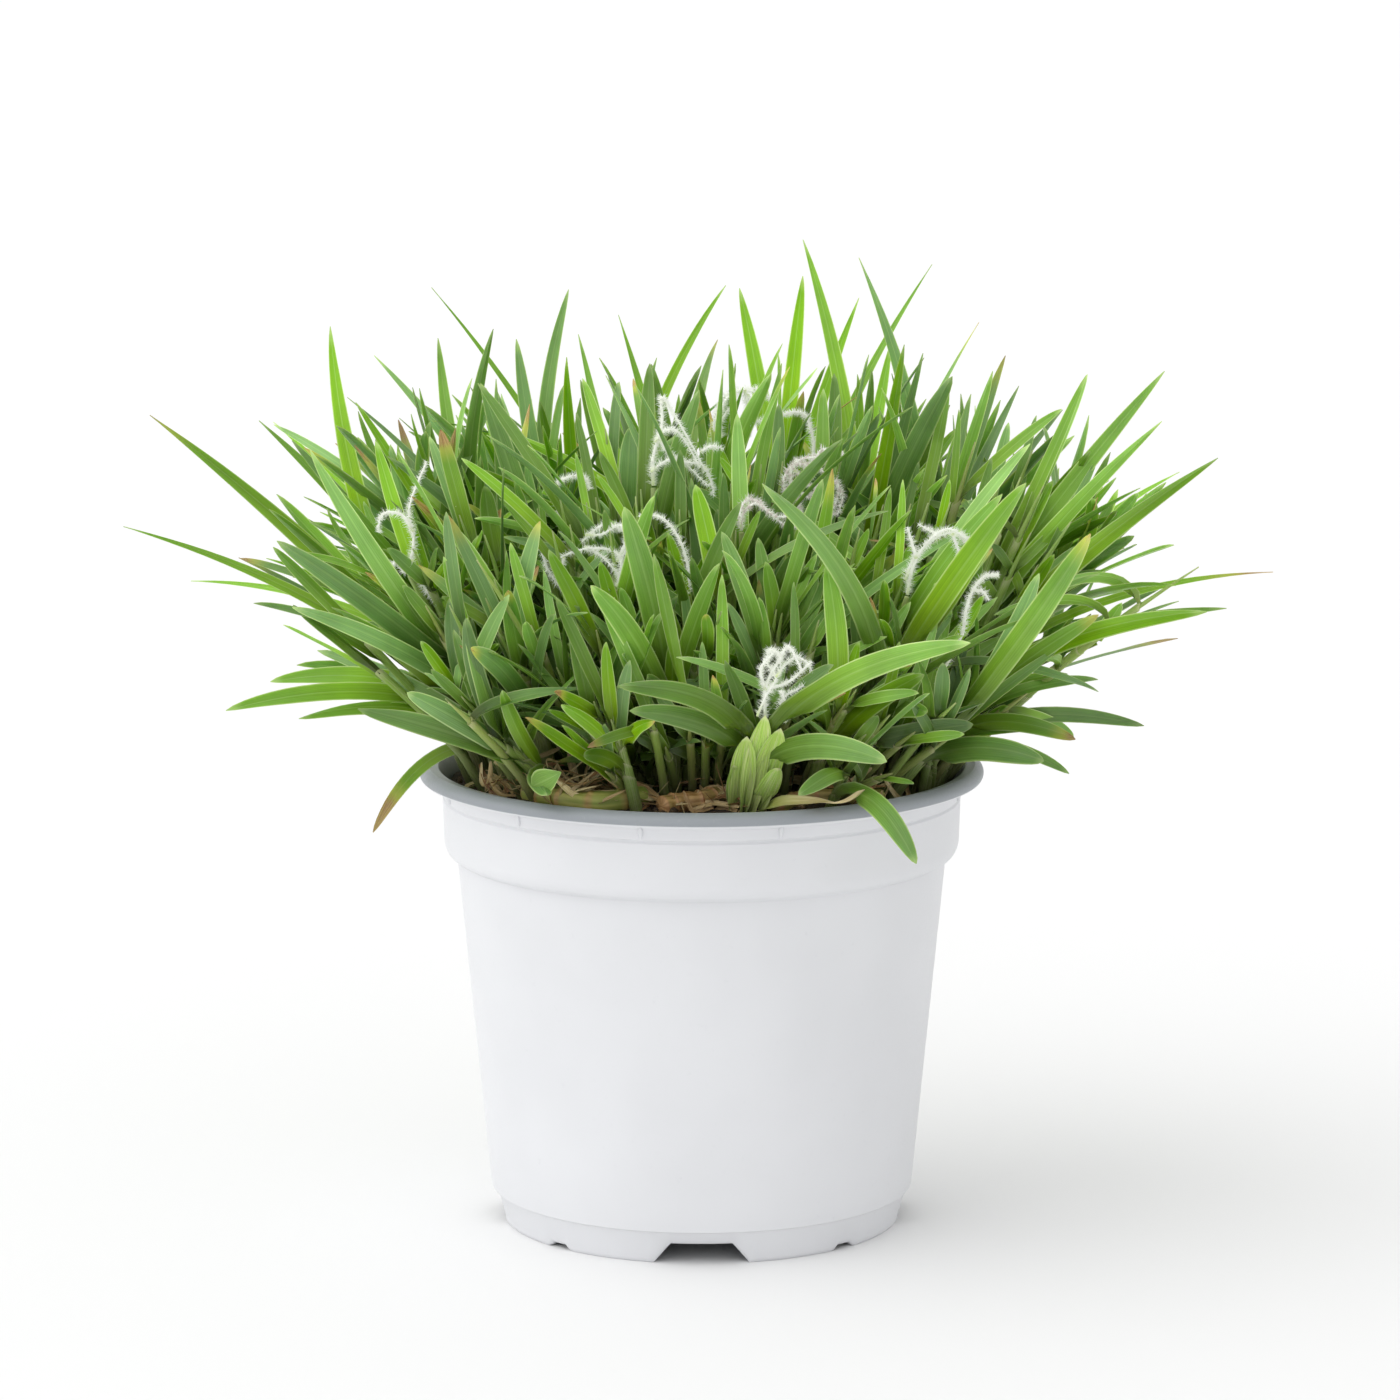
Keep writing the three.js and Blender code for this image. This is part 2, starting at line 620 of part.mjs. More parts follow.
// A drawn blade's tip goes to alternate sides of its stem, longer and flatter low down.
function drawnBlade(stem, i, n, id, attempt) {
  const random = randomFrom(SEED + 100000 + 1000 * id + 100 * i + attempt);
  const { from, along } = attach(stem, i, n);
  const outward = Math.atan2(from.y, from.x);
  const turn = stem.plane + Math.PI * (i % 2) + (random() - 0.5) * 1.4;
  const spread = mix(...DRAWN.spread, i / Math.max(1, n - 1)) * mix(0.6, 1.4, random());
  const side = new THREE.Vector3(Math.cos(turn), Math.sin(turn), 0);
  const direction = along.clone().addScaledVector(side, Math.tan(spread)).normalize();
  direction.x += DRAWN.outward * Math.cos(outward);
  direction.y += DRAWN.outward * Math.sin(outward);
  direction.normalize();
  const tip = from.clone().addScaledVector(direction, mix(...DRAWN.length, random()));
  const excess = reachOf(tip) / mix(...DRAWN.reach, random());
  if (excess > 1) tip.set(tip.x / excess, tip.y / excess, mix(SPREAD.middle, tip.z, 1 / excess));
  const low = SPREAD.low + FRONT_RISE.slope * Math.max(0, FRONT_RISE.from - tip.y);
  tip.z = Math.max(tip.z, low + FRONT_RISE.more * random());
  const facing = new THREE.Vector3(random() - 0.5, random() - 0.5, 0).multiplyScalar(1.5);
  facing.addScaledVector(side, -0.6).add(new THREE.Vector3(0, 0, 0.5)).normalize();
  return { from, along, tip, facing, width: mix(...DRAWN.width, random()) };
}

// Solids are placed one after another, and each node's solids stay clear of every other node's.
const placed = [];

function meets(solid, wanted) {
  const box = solid.boundingBox();
  const apart = (other) => [0, 1, 2].some((k) => box.max[k] < other.min[k] || other.max[k] < box.min[k]);
  return placed.find((p) => wanted(p) && !apart(p.box) && !p.solid.intersect(solid).isEmpty());
}

const meetsOthers = (solid, owner) => meets(solid, (p) => p.owner !== owner);
const meetsOwn = (solid, owner) => meets(solid, (p) => p.owner === owner);

const nodes = new Map();

// Joins a solid to its node, unless that would leave the node's skin unsound.
function place(owner, solid) {
  const whole = nodes.has(owner) ? joined(nodes.get(owner), solid) : solid;
  if (!isSound(whole)) return false;
  placed.push({ owner, solid, box: solid.boundingBox() });
  nodes.set(owner, whole);
  return true;
}

function placeKnown(owner, solid) {
  const other = meetsOthers(solid, owner);
  if (other) throw new Error(owner + " is not clear of " + other.owner);
  if (!place(owner, solid)) throw new Error(owner + " is not sound");
}

place("pot", pot());

// Named stems
const stems = new Map();
for (const [name, shoot] of Object.entries(SHOOTS)) {
  const stem = makeStem(shoot.root, shoot.top, shoot.radius, shoot.flower);
  stem.plane = Math.atan2(shoot.root[1], shoot.root[0]) + 1;
  placeKnown(name, stemSolid(stem));
  stems.set(name, stem);
}

// Flower strands, before the blades, so that the blades keep clear of them
for (const [name, flower] of Object.entries(FLOWERS)) {
  const { curve } = stems.get(flower.shoot);
  const foot = curve.getPoint(1).addScaledVector(curve.getTangent(1), 2 * GAP);
  flower.strands.forEach((points, s) => {
    const line = new THREE.CatmullRomCurve3([...(s === 0 ? [foot] : []), ...points.map(vector)]);
    const size = (share) => STRAND_RADIUS * mix(1, 0.6, share);
    placeKnown(name, tubeSolid(line, Math.round(1.6 * points.length), STRAND_SIDES, size));
  });
}

// Runners: ringed creeping stems on the soil
for (const [name, { radius, line }] of Object.entries(RUNNERS)) {
  const points = line.map(([x, y]) => new THREE.Vector3(x, y, soilTop(x, y) + radius + GAP));
  const swell = (i) => (i % RUNNER.jointEvery === 1 ? RUNNER.joint : 1);
  const size = (_, i) => RUNNER.slim * radius * swell(i);
  placeKnown(name, tubeSolid(new THREE.CatmullRomCurve3(points), RUNNER.steps, RUNNER.sides, size));
}

// Dry leaves: thin curling strips over the soil
for (const [name, { width, line }] of Object.entries(DRY_LEAVES)) {
  const curve = new THREE.CatmullRomCurve3(line.map(vector));
  const rings = DRY_LEAF_STATIONS.map((share) => {
    const tangent = curve.getTangent(share);
    const side = new THREE.Vector3(0, 0, 1).cross(tangent).normalize();
    const normal = tangent.clone().cross(side).normalize();
    const half = (width / 2) * (1 - 0.6 * share);
    const centre = curve.getPoint(share);
    return [
      centre.clone().addScaledVector(side, half),
      centre.clone().addScaledVector(normal, DRY_LEAF_RIDGE),
      centre.clone().addScaledVector(side, -half),
    ];
  });
  rings.push([curve.getPoint(1)]);
  placeKnown(name, solidFrom(loft(rings)));
}

// Blades: each is tried until it is clear of every other node, and a drawn one of its own node too,
// past its foot. The answer is whether a try was placed.
function addBlade(owner, stations, tries, candidate, ownToo) {
  for (let attempt = 0; attempt < tries; attempt++) {
    const blade = candidate(attempt);
    if (meetsOthers(bladeSolid(blade, stations, CLEARANCE), owner)) continue;
    const free = bladeSolid(blade, [CLEAR_OF_STEM, ...stations.slice(1)]);
    if (ownToo && meetsOwn(free, owner)) continue;
    if (place(owner, bladeSolid(blade, stations))) return true;
  }
  return false;
}

Object.entries(SHOOTS).forEach(([name, shoot], id) => {
  const stem = stems.get(name);
  const n = shoot.blades.length;
  shoot.blades.forEach((given, i) => {
    const make = (attempt) => namedBlade(stem, given, i, n, id, attempt);
    const added = addBlade(name, NAMED_STATIONS, NAMED_TRIES, make, false);
    if (!added) throw new Error(name + " has no room for its blade " + i);
  });
});

// Sunflower-seed spacing of the tufts between them, where no named shoot stands
function tuftRoots() {
  const taken = Object.values(SHOOTS).map((s) => s.root);
  const roots = [];
  for (let i = 0; roots.length < TUFTS.count && i < TUFTS.tries; i++) {
    const r = TUFTS.reach * Math.sqrt((i * GOLDEN_SHARE) % 1);
    const angle = i * GOLDEN_ANGLE;
    const spot = [r * Math.cos(angle), r * Math.sin(angle)];
    if (spot[1] < TUFTS.front) continue;
    if (taken.some(([x, y]) => Math.hypot(x - spot[0], y - spot[1]) < TUFTS.room)) continue;
    taken.push(spot);
    roots.push(spot);
  }
  return roots;
}

// A tuft's stems lean outwards, more so near the edge.
function tuftStem(root, t, s, attempt) {
  const random = randomFrom(SEED + 500000 + 1000 * t + 100 * s + attempt);
  const reach = Math.hypot(root[0], root[1]) / TUFTS.reach;
  const outward = Math.atan2(root[1], root[0]);
  const fan = (s / (TUFTS.stems - 1) - 0.5) * TUFT_STEM.fan * (1 - 0.5 * reach);
  const azimuth = outward + fan + (random() - 0.5) * 0.8;
  const lean = mix(...TUFT_STEM.lean, reach ** 1.5) + (random() - 0.5) * TUFT_STEM.leanShare;
  const height = mix(...TUFT_STEM.height, random());
  const out = Math.tan(lean) * height;
  const top = [root[0] + out * Math.cos(azimuth), root[1] + out * Math.sin(azimuth), SOIL_EDGE + height];
  const stem = makeStem(root, top, s === 0 ? STEM_RADIUS : TUFT_STEM.side * STEM_RADIUS);
  stem.plane = random() * Math.PI;
  return stem;
}

const tufts = tuftRoots().map((root, t) => {
  const name = "tuft_" + String(t + 1).padStart(2, "0");
  const bundle = [];
  for (let s = 0; s < TUFTS.stems; s++) {
    for (let attempt = 0; attempt < DRAWN_TRIES; attempt++) {
      const stem = tuftStem(root, t, s, attempt);
      const solid = stemSolid(stem, s > 0);
      if (meetsOthers(solid, name) || !place(name, solid)) continue;
      bundle.push(stem);
      break;
    }
    if (bundle.length === 0) break;
  }
  return { name, bundle };
});

Object.entries(SHOOTS).forEach(([name, shoot], id) => {
  for (let i = 0; i < shoot.more; i++) {
    const make = (attempt) => drawnBlade(stems.get(name), i, shoot.more, 200 + id, attempt);
    addBlade(name, DRAWN_STATIONS, DRAWN_TRIES, make, true);
  }
});

for (let i = 0; i < TUFTS.blades; i++) {
  tufts.forEach(({ name, bundle }, t) => {
    bundle.forEach((stem, s) => {
      const make = (attempt) => drawnBlade(stem, i, TUFTS.blades, TUFTS.stems * t + s, attempt);
      addBlade(name, DRAWN_STATIONS, DRAWN_TRIES, make, true);
    });
  });
}

placeKnown("soil", soil([...stems.values(), ...tufts.map((t) => t.bundle[0])]));

const potPlastic = new THREE.MeshStandardMaterial({ color: 0xeef0f2, roughness: 0.55, metalness: 0 });
const earth = new THREE.MeshStandardMaterial({ color: 0x241b14, roughness: 1, metalness: 0 });
const leaf = new THREE.MeshStandardMaterial({ color: 0x5f9438, roughness: 0.5, metalness: 0 });
const runnerSkin = new THREE.MeshStandardMaterial({ color: 0x8a7a45, roughness: 0.7, metalness: 0 });
const straw = new THREE.MeshStandardMaterial({ color: 0xb9a56a, roughness: 0.8, metalness: 0 });
const flowerDown = new THREE.MeshStandardMaterial({ color: 0xf2f3ef, roughness: 0.9, metalness: 0 });

function materialOf(name) {
  if (name === "pot") return potPlastic;
  if (name === "soil") return earth;
  if (name in RUNNERS) return runnerSkin;
  if (name in DRY_LEAVES) return straw;
  return name in FLOWERS ? flowerDown : leaf;
}

const plant = new THREE.Group();
for (const [name, solid] of nodes) {
  const mesh = new THREE.Mesh(geometryFrom(solid), materialOf(name));
  mesh.name = name;
  plant.add(mesh);
}

export default plant;
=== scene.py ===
# A potted kikuyu grass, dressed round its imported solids. Lengths are in millimetres in this script and
# become metres where a mesh is made. The viewer of the front stands on the -Y side.
import math
from types import SimpleNamespace

import bpy
import numpy as np
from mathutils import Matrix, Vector, noise


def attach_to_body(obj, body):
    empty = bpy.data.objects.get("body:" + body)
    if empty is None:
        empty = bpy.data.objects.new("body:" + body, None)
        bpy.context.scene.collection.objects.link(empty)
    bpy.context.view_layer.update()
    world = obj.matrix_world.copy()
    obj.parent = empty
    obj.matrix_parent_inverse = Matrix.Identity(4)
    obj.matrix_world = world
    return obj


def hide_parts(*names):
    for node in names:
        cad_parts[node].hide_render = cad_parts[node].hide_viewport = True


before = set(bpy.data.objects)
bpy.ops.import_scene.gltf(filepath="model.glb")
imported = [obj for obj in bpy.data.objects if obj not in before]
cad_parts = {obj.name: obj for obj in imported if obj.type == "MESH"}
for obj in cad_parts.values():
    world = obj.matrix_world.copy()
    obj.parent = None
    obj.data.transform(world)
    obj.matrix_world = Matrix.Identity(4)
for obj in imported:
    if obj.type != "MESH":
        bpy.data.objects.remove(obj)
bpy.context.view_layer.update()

MM = 0.001
SEED = 7
rng = np.random.default_rng(SEED)

# Camera: a long lens that looks down on the pot a little
CAMERA = dict(place=(-0.37, -1407, 369), down=9.986, lens=159.9)

# Pot
RIM_RADIUS = 65
RIM_TOP = 107
RIM_UNDERSIDE = 103.8
MOUTH_RADIUS = 60.2
COLLAR_RADIUS = 59.6
COLLAR_BOTTOM = 85.5
COLLAR_EASE = 91
COLLAR_TOP = 99.6
BODY_TOP_RADIUS = 56.3
BODY_FOOT_RADIUS = 48.8
FOOT_STEP = 8.2
FOOT_RADIUS = 45.9
WALL = 1.1
FLOOR_UNDERSIDE = 4.9
FLOOR = 1.3
FOOT_WALL = 2
NOTCH = dict(count=4, height=4.6, top=14.2, bottom=22, turn=0)
NICK = dict(count=4, height=1.2, top=4, bottom=6.6, turn=math.pi / 4)
DRAIN = dict(count=6, radius=3.8, circle=34)
LUGS = dict(count=12, first=-43, low=100.3, high=103.2, width=1.1, depth=0.55)

# Soil
GAP = 0.3
SOIL_EDGE = 102.4
SOIL_MOUND = 2.6
SOIL_RADIUS = 58
FRONT_HEAP = 3
SOIL_LUMPS = [(0.7, 0.16, 1), (0.45, 0.45, 5), (0.3, 1.3, 9)]

# Grass
STEM_RINGS = [0, 0.4, 0.78, 1]
STEM_RADIUS = 2
FLOWER_STEM_TIP = 1.2
BLADE_WIDTH = 5.4
BLADE_CUP = 0.16
BLADE_REACH = 0.45
SPREAD = dict(x=133, y=110, low=118, middle=112, top=101)
NAMED_TRIES = 40
DRAWN_TRIES = 70
TUFTS = dict(count=10, stems=3, blades=4, room=8.2, reach=50, front=-22)
GOLDEN_ANGLE = math.pi * (3 - math.sqrt(5))
SAME_PLACE = 0.02

# Leafy shoots that give the plant its outline: the root on the soil, the top of the sheathed stem,
# the blades as (tip x, tip y, tip z, width seen from the front), and how many are drawn besides.
SHOOTS = {
    "left_front": dict(
        root=(-28, -38), top=(-46, -49, 121), more=0,
        blades=[(-34, -63, 111, 5.4), (-76, -60, 130, 4.9), (-65, -62, 134, 4.7), (-52, -58, 150, 4.3)],
    ),
    "left_low": dict(
        root=(-42, -22), top=(-59, -27, 130), more=1,
        blades=[(-75, -20, 94, 3.4), (-90, -45, 125, 4.2), (-107, -35, 125, 4.9), (-98, -20, 129, 4.7)],
    ),
    "left_wide": dict(
        root=(-34, -14), top=(-60, -29, 138), more=1,
        blades=[(-89, -75, 155, 4.2), (-93, -64, 168, 5.2), (-87, -40, 185, 5.6)],
    ),
    "left_out": dict(
        root=(-49, -3), top=(-72, -3, 142), more=1,
        blades=[
            (-107, 10, 153, 4), (-133, 5, 161, 3.4), (-97, -5, 170, 4.6), (-125, -12, 189, 5.6),
            (-86, 25, 205, 5.4),
        ],
    ),
    "left_behind": dict(
        root=(-47, 14), top=(-64, 20, 145), more=2,
        blades=[(-121, 45, 142, 2.8), (-104, 40, 181, 4.4), (-102, 60, 178, 3.6)],
    ),
    "left_back": dict(
        root=(-38, 27), top=(-57, 30, 153), more=2,
        blades=[(-92, 64, 147, 4.2), (-63, 70, 197, 4.4), (-48, 20, 205, 4)],
    ),
    "left_back_high": dict(
        root=(-25, 38), top=(-40, 46, 161), more=1,
        blades=[(-76, 60, 194, 4.4), (-44, 60, 198, 4.5), (-32, 85, 207, 4.2)],
    ),
    "left_centre": dict(
        root=(-27, 6), top=(-38, 9, 156), more=2,
        blades=[(-83, 36, 187, 4), (-72, 0, 178, 4.4), (-51, 15, 193, 5.4)],
    ),
    "left_near": dict(
        root=(-33, -29), top=(-43, -34, 142), more=1,
        blades=[(-55, -64, 141, 4.6), (-57, -30, 169, 4.6), (-43, -44, 154, 4.8), (-36, -33, 168, 4.4)],
    ),
    "back_left": dict(
        root=(-12, 45), top=(-20, 55, 160), more=1,
        blades=[
            (-65, 80, 208, 3), (-30, 95, 195, 3.4), (-29, 70, 187, 4.4), (-20, 90, 184, 4), (6, 85, 208, 3),
        ],
    ),
    "back_middle": dict(
        root=(2, 33), top=(-5, 42, 163), more=1,
        blades=[(-20, 75, 202, 4.2), (-12, 60, 192, 4.6), (4, 100, 193, 4.4)],
    ),
    "back_out": dict(
        root=(6, 49), top=(9, 68, 143), more=2,
        blades=[(16, 110, 160, 5), (-12, 106, 150, 4.8), (32, 102, 146, 4.6)],
    ),
    "back_right_middle": dict(
        root=(16, 38), top=(19, 46, 168), more=1,
        blades=[(56, 95, 212, 3.4), (38, 85, 205, 4.5), (9, 70, 209, 5), (24, 60, 213, 4.6)],
    ),
    "back_right": dict(
        root=(30, 36), top=(38, 44, 163), more=2,
        blades=[(67, 85, 199, 3), (45, 60, 197, 4), (24, 66, 221, 4.8)],
    ),
    "right_centre": dict(
        root=(30, 12), top=(40, 13, 160), more=2,
        blades=[(51, 15, 200, 3.8), (57, -5, 197, 5.6)],
    ),
    "right_back": dict(
        root=(41, 22), top=(55, 24, 154), more=2,
        blades=[(86, 60, 181, 4.4), (75, 50, 188, 3.8), (71, 35, 197, 4.6), (36, 15, 222, 5)],
    ),
    "right_out": dict(
        root=(47, 6), top=(68, 4, 150), more=1,
        blades=[(114, 60, 166, 4), (104, -15, 188, 5), (106, 5, 197, 5.4), (88, 5, 196, 3.8)],
    ),
    "right_wide": dict(
        root=(47, -8), top=(65, -12, 138), more=1,
        blades=[(112, -50, 150, 4.9), (120, -8, 144, 3.8), (133, 20, 148, 2.8), (116, -25, 181, 5.7)],
    ),
    "right_low": dict(
        root=(48, -20), top=(62, -24, 126), more=1,
        blades=[
            (84, -16, 107, 3.6), (101, -15, 118, 4), (84, -38, 119, 4.6), (91, -5, 127, 4.2),
            (89, -35, 147, 4.6),
        ],
    ),
    "right_front": dict(
        root=(42, -32), top=(61, -36, 126), more=0,
        blades=[(76, -54, 117, 5.8), (84, -80, 172, 5.6), (75, -45, 158, 4.6)],
    ),
    "right_near": dict(
        root=(31, -27), top=(47, -39, 142), more=0,
        blades=[(50, -54, 128, 4.6), (13, -66, 181, 5.2), (70, -80, 183, 5.5)],
    ),
    "front_big": dict(
        root=(9, -46), top=(14, -57, 126), more=0, radius=3.2, flower=True,
        blades=[
            (40, -92, 124, 5.9), (-16, -74, 132, 5), (-18, -100, 142, 5.4), (57, -110, 153, 5.7),
            (29, -66, 141, 4.5),
        ],
    ),
    "front_small": dict(
        root=(-14, -52), top=(-20, -57, 127), more=0, radius=1.6,
        blades=[(-26, -68, 121, 3.8), (-31, -66, 132, 3.6), (-10, -64, 128, 4), (-21, -59, 145, 3.2)],
    ),
    "front_upright": dict(
        root=(24, -36), top=(31, -43, 128), more=0,
        blades=[(49, -62, 138, 4.6), (22, -58, 136, 4.2), (30, -50, 163, 4.8)],
    ),
    "front_droop": dict(
        root=(28, -47), top=(33, -54, 116), more=0, radius=1.6,
        blades=[(46, -84, 102, 4.8), (21, -68, 112, 4)],
    ),
    "front_middle": dict(
        root=(-6, -36), top=(-7, -40, 132), more=0,
        blades=[(-12, -64, 138, 4.6), (-24, -75, 160, 5.6), (4, -50, 161, 4.2), (-17, -60, 175, 5.8)],
    ),
    "flower_stem_left": dict(
        root=(-45, -13), top=(-66, -18, 153), more=1, flower=True,
        blades=[(-74, -10, 183, 4)],
    ),
    "flower_stem_near_left": dict(
        root=(-20, -22), top=(-19, -26, 151), more=2, flower=True,
        blades=[(-8, -30, 172, 4.2)],
    ),
    "flower_stem_hook": dict(
        root=(-2, -23), top=(-3, -28, 150), more=1, flower=True,
        blades=[(9, -32, 172, 4.4)],
    ),
    "flower_stem_middle": dict(
        root=(-9, -4), top=(-11, -4, 171), more=2, flower=True,
        blades=[(2, -8, 190, 4.6)],
    ),
    "flower_stem_back": dict(
        root=(2, 18), top=(3, 26, 176), more=2, flower=True,
        blades=[(18, 22, 198, 4.4)],
    ),
    "flower_stem_wave": dict(
        root=(11, -10), top=(9, -19, 163), more=1, flower=True,
        blades=[(8, -16, 190, 4.2)],
    ),
    "flower_stem_tangle": dict(
        root=(24, -4), top=(23, -6, 162), more=2, flower=True,
        blades=[(32, -10, 184, 4.4)],
    ),
    "flower_stem_right": dict(
        root=(38, -19), top=(46, -30, 150), more=1, flower=True,
        blades=[(66, -36, 172, 4.2)],
    ),
}

# White flower strands: the shoot that each head grows from, and a list of points for each strand
FLOWERS = {
    "flower_front": ("front_big", [
        [(14, -59, 134), (17, -61, 141), (19, -62, 144), (22, -63, 139)],
        [(14, -59, 134), (13, -61, 139), (16, -62, 143)],
        [(14, -59, 134), (19, -61, 136), (24, -64, 141)],
    ]),
    "flower_left": ("flower_stem_left", [
        [(-65, -18, 161), (-66, -18, 168), (-62, -18, 179)],
        [(-65, -18, 163), (-68, -18, 167), (-72, -18, 167), (-73, -19, 163)],
    ]),
    "flower_near_left": ("flower_stem_near_left", [
        [(-18, -25, 155), (-19, -24, 159), (-26, -24, 160), (-34, -23, 157)],
        [(-19, -24, 157), (-17, -22, 163), (-22, -21, 165), (-27, -20, 161)],
        [(-31, -23, 158), (-32, -24, 153)],
    ]),
    "flower_hook": ("flower_stem_hook", [
        [(-3, -29, 156), (-5, -30, 163), (-9, -30, 168), (-14, -28, 168)],
    ]),
    "flower_middle": ("flower_stem_middle", [
        [(-11, -5, 178), (-9, -6, 186), (-9, -6, 192), (-5, -6, 186), (1, -6, 175)],
        [(-10, -6, 183), (-6, -7, 178), (0, -7, 177)],
    ]),
    "flower_back": ("flower_stem_back", [
        [(3, 26, 182), (5, 26, 188), (10, 24, 190), (16, 24, 188)],
        [(10, 24, 190), (11, 24, 185), (11, 24, 179)],
    ]),
    "flower_wave": ("flower_stem_wave", [
        [(9, -21, 167), (12, -22, 170), (17, -22, 167), (22, -21, 168)],
    ]),
    "flower_tangle": ("flower_stem_tangle", [
        [(22, -7, 168), (20, -9, 174), (22, -9, 178), (28, -8, 178), (31, -8, 171), (29, -8, 165)],
        [(21, -9, 176), (25, -8, 172), (29, -7, 174)],
    ]),
    "flower_right": ("flower_stem_right", [
        [(47, -31, 156), (50, -32, 162), (55, -34, 166), (60, -34, 163)],
        [(56, -34, 165), (58, -34, 159)],
        [(48, -32, 159), (46, -31, 166)],
    ]),
}

# Runners lie on the soil as (x, y) points, and the dry leaf as (x, y, z) points
RUNNERS = {
    "runner_left": (2.3, [(-39, -36), (-33, -43), (-23, -50), (-12, -45)]),
    "runner_front": (2, [(-9, -53), (-5, -50), (0, -48), (4, -43)]),
    "runner_right": (1.6, [(16, -53), (21, -45), (27, -41), (35, -40), (41, -38)]),
}
RUNNER_BROWN = {"runner_left": 0.0, "runner_front": 0.7, "runner_right": 0.4}
DRY_LEAF = [(13, -53, 105.5), (18, -56, 108.3), (25, -59, 108.9), (31, -61, 109), (36, -61, 112)]


